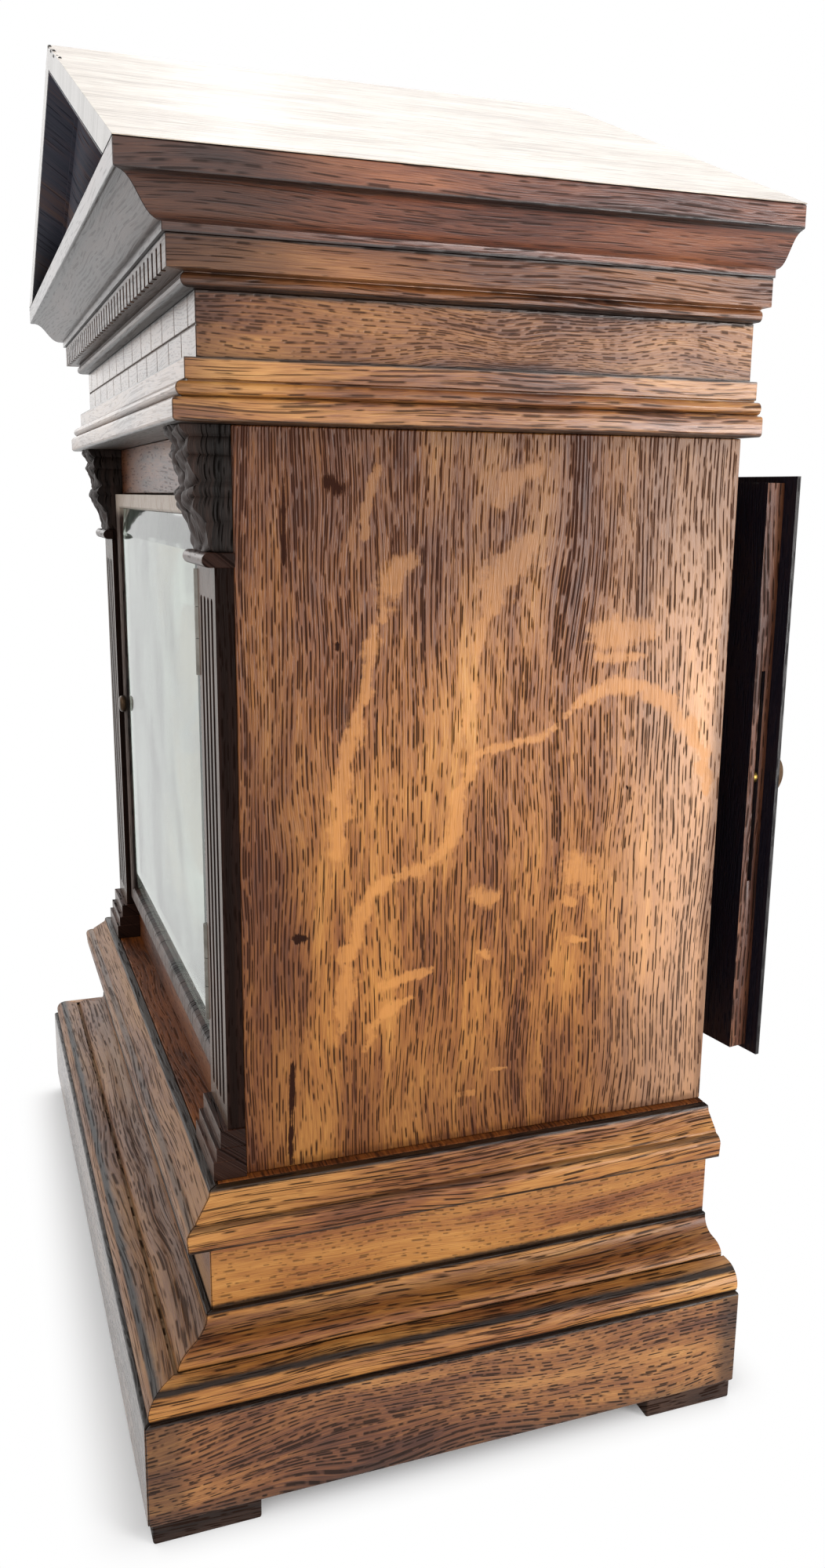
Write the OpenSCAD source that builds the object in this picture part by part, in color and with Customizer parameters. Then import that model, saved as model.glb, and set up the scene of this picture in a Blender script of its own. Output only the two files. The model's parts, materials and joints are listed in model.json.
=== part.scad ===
// An oak bracket clock with a gabled roof, a glazed front door and a fusee timepiece movement.
// The front faces -Y, the floor is z = 0, and the origin is the middle of the footprint.

/* [Case] */
// Width of the case body across its side panels
body_w = 276.4; // [264:0.2:300]
// Depth of the case body, from the front edge of a side panel to the back
body_d = 172.6; // [160:0.2:200]
// Height of the case body between the platform and the architrave
body_h = 239; // [232:0.5:260]
// Thickness of a side panel
side_t = 10; // [8:0.5:12]
// Thickness of the front frame's rails and stiles
frame_t = 12; // [9:0.5:14]
// Height of the rail under the front door
bottom_rail_h = 20.9; // [16:0.1:26]
// Height of the rail over the front door
top_rail_h = 19.7; // [14:0.1:24]
// Thickness of the glue line between fixed pieces
glue = 0.1; // [0.05:0.05:0.2]

/* [Base] */
// Thickness of a foot pad
foot_h = 8; // [5:0.5:12]
// Length of a foot pad along the plinth
foot_l = 35; // [25:1:50]
// How far a foot pad stands in from the plinth's faces
foot_inset = 1.6; // [0.5:0.1:4]
// Height of the plinth boards
plinth_h = 36; // [28:0.5:48]
// Thickness of the plinth boards
plinth_t = 20; // [16:0.5:24]
// How far the plinth stands out from the case body
plinth_out = 33.3; // [30:0.1:36]
// Height of the base board and of the ovolo moulding round it
ovolo_h = 7.4; // [6:0.1:10]
// Width of the ovolo moulding
ovolo_w = 9.8; // [8:0.1:12]
// Height of the ogee moulding
ogee_h = 11; // [9:0.1:14]
// How far the flat of the base stands out from the case body
die_out = 7; // [5:0.1:9]
// Thickness of the boards behind the flat of the base
die_t = 14; // [10:0.5:18]
// Visible height of the flat of the base, over the ogee moulding
die_h = 26.2; // [20:0.2:36]
// Thickness of the platform board and of the moulding round it
platform_h = 16.4; // [13:0.1:20]
// How far the platform board stands out from the case body
platform_out = 3; // [2:0.1:4]
// How far the moulding round the platform stands out from the case body
surbase_out = 15.7; // [14:0.1:18]

/* [Entablature] */
// Height of the architrave
architrave_h = 17.6; // [15:0.1:22]
// How far the architrave's lower band stands out
architrave_out = 11.6; // [10:0.1:14]
// Height of the frieze
frieze_h = 18.4; // [14:0.2:26]
// How far the frieze stands out
frieze_out = 3; // [1:0.1:5]
// Height of the dentil band with its bed bead
dentil_h = 12.6; // [11:0.1:16]
// How far the dentil band stands out
dentil_out = 12.2; // [10:0.1:14]
// Height of the cornice moulding
cornice_h = 11.8; // [10:0.1:15]
// How far the roof's edge stands out from the case body
roof_out = 27.2; // [24:0.1:30]
// Thickness of the entablature's mouldings behind the case's outer face
lining = 12; // [11:0.5:14]
// Number of blocks along the frieze
frieze_blocks = 12; // [6:1:16]
// Number of dentils along the front
dentil_count = 38; // [20:1:44]

/* [Roof] */
// Thickness of the top board
top_board_h = 7.2; // [6:0.1:10]
// Height of the ridge above the top board
roof_rise = 68.4; // [50:0.2:90]
// Thickness of a roof board
roof_t = 7.6; // [6:0.1:10]
// Depth of the recess in front of the pediment panel
pediment_recess = 24; // [12:0.5:40]
// Thickness of the pediment panels
pediment_t = 8; // [5:0.5:12]

/* [Pilasters] */
// Width of a pilaster
pilaster_w = 28; // [24:0.2:32]
// Thickness of a pilaster
pilaster_t = 5.8; // [4.5:0.1:7]
// Extra reach of the mouldings at the front
front_lead = 1.3; // [0:0.1:3]
// Height of a pilaster's stepped base
plinth_block_h = 16.9; // [12:0.1:18]
// How far the base's lowest step stands out
plinth_block_out = 5.3; // [3:0.1:6]
// Height of the capital slab
capital_h = 4.4; // [3:0.1:6]
// How far the capital slab stands out in front
capital_out = 4.2; // [3:0.1:5.5]
// Height of the carved corbel
corbel_h = 36.6; // [28:0.2:44]
// How far the corbel stands out at its top
corbel_out = 8.3; // [6:0.1:9]
// Number of flutes
flute_count = 4; // [2:1:5]
// Radius of a flute
flute_r = 1.6; // [1:0.1:2]

/* [Front door] */
// Width of the door frame's face
door_face = 6; // [5:0.1:9]
// Thickness of the door
door_t = 9; // [7:0.1:11]
// How far the door's face lies behind the pilasters' faces
door_setback = 2.2; // [1.8:0.1:3]
// Gap beside the door, which holds the hinge leaves
door_side_gap = 1.4; // [1.2:0.1:2]
// Gap above and below the door
door_end_gap = 0.6; // [0.4:0.1:1.5]
// Width of the ledge that the glass rests on
glass_ledge = 5; // [3:0.1:7]
// Thickness of the glass
glass_t = 4; // [3:0.1:5]
// Width of the bevel round the glass
glass_bevel = 12; // [6:0.5:16]
// Radius of the front door's knob
knob_r = 4; // [3:0.1:5]

/* [Back door] */
// Half-width of the opening in the back
back_half_w = 115.3; // [105:0.1:118]
// Height of the back frame's top rail
back_top_rail_h = 13.1; // [10:0.1:20]
// Height of the back frame's bottom rail
back_bottom_rail_h = 4.7; // [4:0.1:12]
// Clearance round the back door's board in its opening
back_gap = 0.8; // [0.5:0.1:1.5]
// Thickness of the back door's board
back_board_t = 8.2; // [7:0.1:11]
// Thickness of the back door's outer sheet
lip_t = 1.7; // [1.2:0.1:3]
// How far the outer sheet passes the board at the sides
lip_side = 6; // [4:0.1:8]
// How far the outer sheet passes the board at the ends
lip_end = 2.4; // [1.5:0.1:4]
// Angle at which the back door stands ajar
ajar = 9; // [4:0.5:20]
// Radius of the latch blade
blade_r = 40; // [30:0.5:44]
// Thickness of the latch blade
blade_t = 1.5; // [1:0.1:2]
// Furthest turn of the latch blade
blade_turn = 18; // [8:1:20]
// Radius of the half-round thumb turn
thumb_r = 8.8; // [7:0.2:12]

/* [Hinges] */
// Radius of a front door hinge's knuckle
front_knuckle_r = 1.5; // [1.3:0.1:1.6]
// Radius of a back door hinge's knuckle
back_knuckle_r = 2.4; // [2:0.1:2.6]
// Length of a hinge
hinge_l = 34; // [24:1:44]
// Width of a back door hinge's leaf on the door
back_leaf_w = 14; // [10:0.5:20]
// Radius of a hinge pin
pin_r = 0.6; // [0.5:0.05:0.8]
// Running clearance of a pin, an arbor or a pipe in its hole
run = 0.05; // [0.03:0.01:0.08]

/* [Dial] */
// Side of the square window in the dial mask
window_w = 168; // [160:1:172]
// Thickness of the dial mask
mask_t = 4; // [3:0.5:5]
// How far the dial plate passes the window
dial_lap = 4; // [2:0.5:5]
// Thickness of the dial plate
dial_t = 2; // [1.5:0.1:2.5]
// How far the chapter ring's edge lies inside the window
chapter_margin = 6; // [3:0.5:12]
// Width of the chapter ring
chapter_w = 22; // [16:0.5:24]
// Thickness of the chapter ring
chapter_t = 1.2; // [0.8:0.1:1.6]
// Length of the minute hand as a share of the chapter ring's radius
minute_share = 0.87; // [0.78:0.01:0.94]
// Length of the hour hand as a share of the chapter ring's radius
hour_share = 0.59; // [0.5:0.01:0.68]
// Radius of the winding hole in the dial
winding_hole_r = 5; // [4.5:0.1:6]

/* [Movement] */
// Distance between the insides of the two plates
plate_gap = 52; // [50:0.5:54]
// Distance of the minute wheel's arbor from the centre
minute_d = 25.2; // [24.6:0.1:25.6]
// Thickness of a plate
plate_t = 3; // [2.5:0.1:3.5]
// Width of the plates
plate_w = 126; // [122:0.5:132]
// Height of the plates
plate_h = 144; // [142:0.5:146]
// Distance between the dial plate and the front plate
dial_gap = 12; // [11.5:0.1:13]
// Thickness of the seat board
seat_t = 10; // [8:0.5:14]
// Gap between the barrel and the seat board
seat_gap = 7.6; // [4:0.1:9]
// Width of the cleats that carry the seat board
cleat_w = 12; // [8:0.5:16]
// Height of the cleats that carry the seat board
cleat_h = 14; // [10:0.5:20]
// Radius of a pillar
pillar_r = 4; // [3:0.1:4.5]
// Tooth size of the great wheel, its pitch diameter over its teeth
great_module = 0.7; // [0.66:0.01:0.71]
// Tooth size of the centre wheel
centre_module = 0.6; // [0.58:0.01:0.62]
// Tooth size of the third wheel
third_module = 0.55; // [0.53:0.01:0.57]
// Radius of the escape wheel at its tips
escape_r = 17; // [16:0.1:17.5]
// Radius of the spring barrel
barrel_r = 25.5; // [24:0.1:25.8]
// Radius of the fusee at its large end
fusee_r = 24; // [20:0.5:26]
// How far the barrel's caps stand out from it
barrel_cap = 0.9; // [0.5:0.05:1]
// Length of the fusee's cone
fusee_l = 34; // [30:0.5:35]
// Turns of line on the fusee
fusee_turns = 16; // [12:1:18]
// Diameter of the gut line
line_d = 1.2; // [1:0.05:1.3]
// Radius of the arbors
arbor_r = 1.2; // [1:0.05:1.3]
// Length of the pendulum from its suspension to the middle of the bob
pendulum_l = 149.7; // [146:0.1:151]
// Radius of the pendulum bob
bob_r = 22; // [16:0.5:22.5]
// Thickness of the pendulum bob
bob_t = 12; // [8:0.5:13]
// Half the angle through which the pendulum swings
swing = 3; // [2:0.5:3]

/* [Hidden] */

oak = "peru";
dark_oak = "saddlebrown";
brass = "goldenrod";
steel = "lightsteelblue";

// Teeth of the going train, which keeps its rate only with these counts
great_teeth = 96;
centre_pinion_teeth = 8;
centre_teeth = 84;
third_pinion_teeth = 7;
third_teeth = 82;
escape_pinion_teeth = 7;
escape_teeth = 33;
// Teeth of the motion work, which turns the hour hand once in twelve
cannon_teeth = 28;
minute_teeth = 84;
minute_pinion_teeth = 20;
hour_teeth = 80;

// Places along Y
hw = body_w / 2;
total_d = body_d + pilaster_t + front_lead + plinth_out;
y_back = total_d / 2;
y_frame = y_back - body_d;
y_pilaster = y_frame - pilaster_t;
y_ref = y_pilaster - front_lead;

// Levels
z_plinth = foot_h;
z_base = z_plinth + plinth_h;
z_ogee = z_base + ovolo_h;
z_die_top = z_ogee + ogee_h + die_h;
z_body = z_die_top + platform_h;
z_arch = z_body + body_h;
z_frieze = z_arch + architrave_h;
z_dentil = z_frieze + frieze_h;
z_cornice = z_dentil + dentil_h;
z_top = z_cornice + cornice_h;
z_roof = z_top + top_board_h;
z_ridge = z_roof + roof_rise;

// Points of an arc round [cx, cz] from angle a0 to a1
function arc(cx, cz, r, a0, a1, n = 8) =
    [for (i = [0 : n]) [cx + r * cos(a0 + (a1 - a0) * i / n), cz + r * sin(a0 + (a1 - a0) * i / n)]];
// A profile given as [reach, height], set out to a reach and up to a height
function placed(p, reach, z) = [for (q = p) [q[0] + reach, q[1] + z]];

// One straight length of a moulding along the front, cut to its mitres
module front_run(profile, inner, outer) {
    intersection() {
        translate([-hw - outer, 0, 0]) rotate([90, 0, 90])
            linear_extrude(2 * (hw + outer)) polygon([for (q = profile) [y_ref - q[0], q[1]]]);
        linear_extrude(z_ridge + 1) polygon([
            [-hw - outer + glue, y_ref - outer - 1e-3], [hw + outer - glue, y_ref - outer - 1e-3],
            [hw - inner - glue, y_ref + inner + 1e-3], [-hw + inner + glue, y_ref + inner + 1e-3]]);
    }
}

// One straight length along a side, cut to its mitre in front and square at the back
module side_run(profile, inner, outer) {
    intersection() {
        translate([0, y_back, 0]) rotate([90, 0, 0])
            linear_extrude(total_d + outer) polygon([for (q = profile) [hw + q[0], q[1]]]);
        linear_extrude(z_ridge + 1) polygon([
            [hw - inner, y_ref + inner + glue], [hw + outer, y_ref - outer + glue],
            [hw + outer, y_back + 1e-3], [hw - inner, y_back + 1e-3]]);
    }
}

// A moulding round the front and both sides
module course(profile, inner, outer) {
    front_run(profile, inner, outer);
    side_run(profile, inner, outer);
    mirror([1, 0, 0]) side_run(profile, inner, outer);
}

function band(in_reach, out_reach, z0, z1) =
    [[in_reach, z0], [out_reach, z0], [out_reach, z1], [in_reach, z1]];

module both_sides() {
    children();
    mirror([1, 0, 0]) children();
}

module box(lo, hi) {
    translate(lo) cube(hi - lo);
}

module rail(x, y0, y1, z0, z1) {
    box([-x, y0, z0], [x, y1, z1]);
}

// Base

module feet() {
    x1 = hw + plinth_out - foot_inset;
    w = plinth_t + 8;
    yf = y_ref - plinth_out + foot_inset;
    color("#3a2416") both_sides() {
        box([x1 - w, yf, 0], [x1, yf + foot_l, foot_h]);
        box([x1 - w, y_back - foot_l, 0], [x1, y_back - foot_inset / 4, foot_h]);
    }
}

module plinth() {
    inner = plinth_out - plinth_t;
    color(oak) {
        course(band(inner, plinth_out, z_plinth + glue / 2, z_base), -inner, plinth_out);
        rail(hw + inner - glue, y_back - plinth_t, y_back, z_plinth + glue / 2, z_base);
    }
}

ovolo_in = plinth_out - 1.5 - ovolo_w;

module base_board() {
    color(oak) rail(hw + ovolo_in - glue, y_ref - ovolo_in + glue, y_back, z_base + glue / 2, z_ogee);
}

// The round bows out from its foot, then in to the groove under the ogee
module ovolo_moulding() {
    r = ovolo_h - 0.8;
    reach = ovolo_in + ovolo_w;
    round_edge = [for (i = [0 : 8]) let (a = -20 + 110 * i / 8)
        [reach - r + r * cos(a), z_base + r * sin(20) + (r - 0.4) * sin(a)]];
    color(oak) course(concat([[ovolo_in, z_base + glue / 2], [reach - 0.4, z_base + glue / 2]], round_edge,
        [[ovolo_in, z_base + r * sin(20) + r - 0.4]]), -ovolo_in, reach);
}

// A quarter round below, a cove above, and a small fillet against the flat
module ogee_moulding() {
    w = ovolo_in - die_out - 1.2;
    low = ogee_h * 0.42;
    bulge = [for (i = [0 : 6]) let (a = 90 * i / 6)
        [die_out + w * 0.56 + w * 0.44 * cos(a), z_ogee + 0.8 + (low - 0.8) * sin(a)]];
    cove = [for (i = [1 : 6]) let (a = 90 * i / 6)
        [die_out + w * 0.56 - w * 0.42 * sin(a), z_ogee + ogee_h - 1 - (ogee_h - 1 - low) * cos(a)]];
    color(oak) course(concat([[die_out + glue, z_ogee + glue / 2], [die_out + w, z_ogee + glue / 2]], bulge, cove,
        [[die_out + w * 0.14, z_ogee + ogee_h], [die_out + glue, z_ogee + ogee_h]]), -die_out, ovolo_in);
}

module die_frame() {
    inner = die_out - die_t;
    color(oak) {
        course(band(inner, die_out, z_ogee + glue / 2, z_die_top), -inner, die_out);
        rail(hw + inner - glue, y_back - die_t, y_back, z_ogee + glue / 2, z_die_top);
    }
}

module platform_board() {
    color(oak) rail(hw + platform_out - glue, y_ref - platform_out + glue, y_back,
        z_die_top + glue / 2, z_body);
}

// From the top: a fillet, a cove, a small step, a round nose and a flat
module surbase_moulding() {
    w = surbase_out - platform_out;
    cove = [for (i = [0 : 6]) let (a = 90 * i / 6)
        [platform_out + w * 0.72 - w * 0.42 * sin(a), z_body - 2 - platform_h * 0.32 * (1 - cos(90 - a))]];
    nose = [for (i = [0 : 6]) let (a = -10 + 100 * i / 6)
        [surbase_out - 3.4 + 3.4 * cos(a), z_die_top + platform_h * 0.33 + 3 * sin(a)]];
    color(oak) course(concat([[platform_out + glue, z_die_top + glue / 2], [surbase_out - 0.5, z_die_top + glue / 2]],
        nose, [for (i = [0 : 6]) cove[i]],
        [[platform_out + w * 0.26, z_body], [platform_out + glue, z_body]]), -platform_out, surbase_out);
}

// Case body

module side_panel() {
    box([hw - side_t, y_frame, z_body + glue], [hw, y_back, z_arch - glue]);
}

module side_panel_right() {
    color(oak) side_panel();
}

module side_panel_left() {
    color(oak) mirror([1, 0, 0]) side_panel();
}

door_open_x = hw - pilaster_w;
door_z0 = z_body + bottom_rail_h;
door_z1 = z_arch - top_rail_h;

// The far stile is rebated all the way down: the knob's catch turns into the rebate
module front_frame() {
    y1 = y_frame + frame_t;
    stile = [hw - side_t - glue, y1, z_arch - glue];
    catch_x = knob_x + tongue_l + 1.2;
    color(oak) {
        box([door_open_x, y_frame, z_body + glue], stile);
        mirror([1, 0, 0]) {
            box([door_open_x, y_frame, z_body + glue], [stile[0], door_y1 + 0.1, stile[2]]);
            box([catch_x, door_y1, z_body + glue], stile);
        }
        rail(door_open_x - glue, y_frame, y1, z_body + glue, door_z0);
        rail(door_open_x - glue, y_frame, y1, door_z1, z_arch - glue);
    }
}

z_block = z_body + plinth_block_h;
z_slab = z_arch - corbel_h - capital_h;

module flute(x) {
    z0 = z_block + 8;
    z1 = z_slab - 11;
    translate([x, y_pilaster - flute_r * 0.35, z0]) cylinder(h = z1 - z0, r = flute_r, $fn = 24);
    for (z = [z0, z1]) translate([x, y_pilaster - flute_r * 0.35, z]) sphere(r = flute_r, $fn = 24);
}

module pilaster() {
    pitch = pilaster_w / (flute_count + 1);
    difference() {
        box([door_open_x, y_pilaster, z_block + glue], [hw, y_frame - glue, z_slab - glue]);
        for (i = [1 : flute_count]) flute(door_open_x + pitch * i);
    }
}

module pilasters() {
    color(dark_oak) both_sides() pilaster();
}

// Three steps, each a little narrower than the one under it
module pilaster_bases() {
    heights = [0, 0.38, 0.64, 1];
    reach = [1, 0.78, 0.5];
    color(dark_oak) both_sides() for (i = [0 : 2]) {
        out = plinth_block_out * reach[i];
        box([door_open_x - out * 0.4, y_pilaster - out, z_body + glue + plinth_block_h * heights[i]],
            [hw + out * 0.3, y_frame - glue, z_body + plinth_block_h * heights[i + 1] + (i < 2 ? 2 * glue : 0)]);
    }
}

capital_in = 2;
capital_side = 2.6;

// A slab with a half-round nose
module capital() {
    r = capital_h / 2 - glue / 2;
    nose = arc(y_pilaster - capital_out + r, z_slab + capital_h / 2, r, 90, 270);
    translate([door_open_x - capital_in, 0, 0]) rotate([90, 0, 90])
        linear_extrude(pilaster_w + capital_in + capital_side)
            polygon(concat([[y_pilaster + 0.4, z_slab + capital_h - glue / 2]], nose,
                [[y_pilaster + 0.4, z_slab + glue / 2]]));
    box([door_open_x, y_pilaster, z_slab + glue / 2], [hw + capital_side, y_frame - glue, z_slab + capital_h - glue / 2]);
}

module capitals() {
    color(dark_oak) both_sides() capital();
}

// The corbel's front: a leaf that rolls over at mid height and swells again to the top
corbel_front = [[0.05, 0], [0.12, 0.08], [0.34, 0.22], [0.6, 0.33], [0.74, 0.42], [0.79, 0.47], [0.76, 0.51],
    [0.6, 0.53], [0.58, 0.6], [0.66, 0.68], [0.72, 0.78], [0.86, 0.86], [0.95, 0.92], [1, 1]];

module corbels() {
    z0 = z_slab + capital_h;
    color("#2d1c12") both_sides() translate([door_open_x, 0, 0]) rotate([90, 0, 90])
        linear_extrude(pilaster_w) polygon(concat([[y_frame - glue, z0 + glue / 2]],
            [for (q = corbel_front) [y_pilaster - corbel_out * q[0], z0 + glue + (corbel_h - 3 * glue) * q[1]]],
            [[y_frame - glue, z_arch - 2 * glue]]));
}

// Entablature

bead_r = architrave_h * 0.115;

module architrave() {
    low = architrave_h * 0.37;
    zb = z_arch + low + bead_r + 0.4;
    zu = zb + bead_r + 0.7;
    r = 1.2;
    face = concat(arc(architrave_out - r, z_arch + r, r, -90, 0, 4), arc(architrave_out - r, z_arch + low - r, r, 0, 90, 4),
        [[architrave_out - 3.2, z_arch + low]], arc(architrave_out - 1.2 - bead_r, zb, bead_r, -90, 90, 8),
        [[architrave_out - 5.4, zb + bead_r], [architrave_out - 5.4, zu], [architrave_out - 4.4, zu],
        [architrave_out - 4.4, z_frieze - glue]]);
    color(oak) course(concat([[-lining, z_arch]], face, [[-lining, z_frieze - glue]]), lining, architrave_out);
}

// Upright blocks in two rows, cut with fine grooves, with the joints of the rows staggered
module frieze() {
    front_w = 2 * (hw + frieze_out);
    pitch = front_w / frieze_blocks;
    y0 = y_ref - frieze_out;
    zm = z_frieze + frieze_h / 2;
    color(oak) {
        difference() {
            front_run(band(-lining, frieze_out, z_frieze, z_dentil - glue), lining, frieze_out);
            box([-front_w, y0 - 1, zm - 0.35], [front_w, y0 + 0.8, zm + 0.35]);
            for (i = [0 : frieze_blocks - 1]) {
                xu = -front_w / 2 + pitch * (i + 0.5);
                box([xu - 0.35, y0 - 1, zm], [xu + 0.35, y0 + 0.8, z_dentil]);
            }
            for (i = [1 : frieze_blocks - 1]) {
                xl = -front_w / 2 + pitch * i;
                box([xl - 0.35, y0 - 1, z_frieze - 1], [xl + 0.35, y0 + 0.8, zm]);
            }
        }
        both_sides() side_run(band(-lining, frieze_out, z_frieze, z_dentil - glue), lining, frieze_out);
    }
}

module dentil_band() {
    bead_h = dentil_h * 0.29;
    zd = z_dentil + bead_h + 0.3;
    front_w = 2 * (hw + dentil_out);
    pitch = front_w / dentil_count;
    bead = arc(dentil_out - 4.5 - bead_h / 2, z_dentil + bead_h / 2, bead_h / 2, -90, 90, 6);
    face = concat([[-lining, z_dentil]], bead, [[dentil_out - 5.6, z_dentil + bead_h], [dentil_out - 5.6, zd],
        [dentil_out, zd], [dentil_out, z_cornice - glue], [-lining, z_cornice - glue]]);
    color(oak) {
        difference() {
            front_run(face, lining, dentil_out);
            for (i = [1 : dentil_count - 1]) {
                x = -front_w / 2 + pitch * i;
                box([x - pitch * 0.16, y_ref - dentil_out - 1, zd - 0.1],
                    [x + pitch * 0.16, y_ref - dentil_out + 1.4, z_cornice - 1.6]);
            }
        }
        both_sides() side_run(face, lining, dentil_out);
    }
}

// A fillet, then an ogee that swells out to the edge of the roof
module cornice() {
    w = roof_out - 1 - (dentil_out + 2);
    h = cornice_h - 2.4;
    z0 = z_cornice + 2.4;
    curve = [for (i = [0 : 10]) let (t = i / 10)
        [dentil_out + 2 + w * t, z0 + h * (t - 0.13 * sin(360 * t))]];
    color(oak) course(concat([[-lining, z_cornice], [dentil_out + 1.1, z_cornice], [dentil_out + 1.1, z0]], curve,
        [[-lining, z_top - glue]]), lining, roof_out);
}

module top_board() {
    color(oak) rail(hw + roof_out, y_ref - roof_out, y_back, z_top, z_roof - glue / 2);
}

roof_hw = hw + roof_out;
slope = atan(roof_rise / roof_hw);
roof_drop = roof_t / cos(slope);

module roof_boards() {
    under = roof_hw * (1 - roof_drop / roof_rise);
    color(oak) both_sides() translate([0, y_back, 0]) rotate([90, 0, 0]) linear_extrude(y_back - y_ref + roof_out)
        polygon([[glue / 2, z_ridge], [roof_hw, z_roof + 0.3], [roof_hw, z_roof + glue / 2],
            [under, z_roof + glue / 2], [glue / 2, z_ridge - roof_drop]]);
}

module pediment_panel() {
    under = roof_hw * (1 - roof_drop / roof_rise);
    rotate([90, 0, 0]) linear_extrude(pediment_t) polygon([[-under + 3 * glue, z_roof + glue],
        [under - 3 * glue, z_roof + glue], [0, z_ridge - roof_drop - 2 * glue]]);
}

module pediment_panels() {
    color(dark_oak) {
        translate([0, y_ref - roof_out + pediment_recess + pediment_t, 0]) pediment_panel();
        translate([0, y_back, 0]) pediment_panel();
    }
}

upper_back_t = 10;

module ceiling_board() {
    color(oak) rail(hw - lining - glue, y_ref + lining + glue, y_back - upper_back_t - glue, z_arch, z_arch + 8);
}

// Back frame and doors

back_frame_t = 16;
back_z0 = z_body + back_bottom_rail_h;
back_z1 = z_arch - back_top_rail_h;
latch_z = (back_z0 + back_z1) / 2;
back_body_x = back_half_w - back_gap;
blade_y = y_back - back_board_t / 2;
latch_x = back_body_x - 3;
mortise_d = blade_r * sin(blade_turn) - 3 - back_gap + 0.8;
strike_t = 0.8;

// The space that the blade swings into: a slot with room round it
module mortise(extra) {
    box([back_half_w - 1, blade_y - blade_t / 2 - 0.4 - extra, latch_z + 5 - extra],
        [back_half_w + mortise_d + extra, blade_y + blade_t / 2 + 0.4 + extra, latch_z + blade_r + 2 + extra]);
}

module back_frame() {
    y0 = y_back - back_frame_t;
    stile_out = hw - side_t - glue;
    color(oak) {
        difference() {
            box([back_half_w, y0, z_body + glue], [stile_out, y_back, z_arch - glue]);
            mortise(0);
            box([back_half_w - 1, blade_y - 4.1, latch_z - 0.1], [back_half_w + strike_t, blade_y + 4.1, latch_z + blade_r + 6.1]);
        }
        box([-stile_out, y0, z_body + glue], [-back_half_w, y_back, z_arch - glue]);
        rail(back_half_w - glue, y0, y_back, z_body + glue, back_z0);
        rail(back_half_w - glue, y0, y_back, back_z1, z_arch - glue);
        rail(hw - lining - glue, y_back - upper_back_t, y_back, z_arch, z_top - glue);
    }
}

module strike_plate() {
    color(brass) difference() {
        box([back_half_w, blade_y - 4, latch_z], [back_half_w + strike_t - 0.02, blade_y + 4, latch_z + blade_r + 6]);
        mortise(0);
    }
}

door_x = door_open_x - door_side_gap;
door_y0 = y_pilaster + door_setback;
door_y1 = door_y0 + door_t;
door_bottom = door_z0 + door_end_gap;
door_top = door_z1 - door_end_gap;
glass_y = door_y0 + 0.6;

// One member of the door: a full-depth edge, with a ledge behind the glass
module door_member(half_l, depth) {
    intersection() {
        translate([-half_l, 0, 0]) rotate([90, 0, 90]) linear_extrude(2 * half_l) polygon([
            [door_y0, 0], [door_y1, 0], [door_y1, door_face + glass_ledge],
            [glass_y + glass_t + glue, door_face + glass_ledge], [glass_y + glass_t + glue, door_face],
            [door_y0 + 0.8, door_face], [door_y0, door_face - 0.8]]);
        translate([0, door_y1 + 1, 0]) rotate([90, 0, 0]) linear_extrude(door_t + 2)
            polygon([[-half_l + glue, 0], [half_l - glue, 0], [half_l - depth - glue, depth], [-half_l + depth + glue, depth]]);
    }
}

module front_door_frame() {
    depth = door_face + glass_ledge + 1;
    mid = (door_top + door_bottom) / 2;
    half_h = (door_top - door_bottom) / 2;
    color(dark_oak) difference() {
        union() {
            translate([0, 0, door_bottom]) door_member(door_x, depth);
            translate([0, 0, door_top]) mirror([0, 0, 1]) door_member(door_x, depth);
            both_sides() translate([-door_x, 0, mid]) rotate([0, 90, 0]) door_member(half_h, depth);
        }
        translate([-knob_x, door_y1 + 1, mid]) rotate([90, 0, 0]) cylinder(h = door_t + 2, r = 1.2 + run, $fn = 32);
    }
}

knob_x = door_x - door_face / 2 - 1;
tongue_l = 11;

// A flat plate whose edge is ground down to a shallow bevel all round
module front_door_glass() {
    x = door_x - door_face - glue;
    z0 = door_bottom + door_face + glue;
    z1 = door_top - door_face - glue;
    edge = glass_t * 0.45;
    b = glass_bevel;
    pts = concat([for (p = [[-x, z0], [x, z0], [x, z1], [-x, z1]]) [p[0], glass_y + glass_t, p[1]]],
        [for (p = [[-x, z0], [x, z0], [x, z1], [-x, z1]]) [p[0], glass_y + glass_t - edge, p[1]]],
        [for (p = [[-x + b, z0 + b], [x - b, z0 + b], [x - b, z1 - b], [-x + b, z1 - b]]) [p[0], glass_y, p[1]]]);
    color([0.8, 0.9, 0.88, 0.4]) polyhedron(pts, [[3, 2, 1, 0], [0, 1, 5, 4], [1, 2, 6, 5], [2, 3, 7, 6], [3, 0, 4, 7],
        [4, 5, 9, 8], [5, 6, 10, 9], [6, 7, 11, 10], [7, 4, 8, 11], [8, 9, 10, 11]]);
}

// A low round knob on a spindle, with a turning catch inside
module front_door_knob() {
    mid = (door_top + door_bottom) / 2;
    color(brass) translate([-knob_x, 0, mid]) rotate([90, 0, 0]) {
        translate([0, 0, -door_y0 + 0.1]) rotate_extrude($fn = 48) polygon(concat([[0, 0], [knob_r, 0], [knob_r, 0.8]],
            arc(knob_r - 1.6, 0.9, 1.6, 0, 90, 5), [[0, 2.6]]));
        translate([0, 0, -door_y1 - 2.2]) cylinder(h = door_t + 2.4, r = 1.2, $fn = 32);
        translate([0, 0, -door_y1 - 2.2]) cylinder(h = 1.8, r = 2.6, $fn = 32);
        translate([-1.6, 0, -door_y1 - 2.2]) cube([3.2, tongue_l, 1.8]);
    }
}

// Hinges

front_axis = [door_open_x - front_knuckle_r - 0.2, y_pilaster + 0.6];
leaf_t = 0.6;
hinge_zs = [0.2, 0.8];

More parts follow.
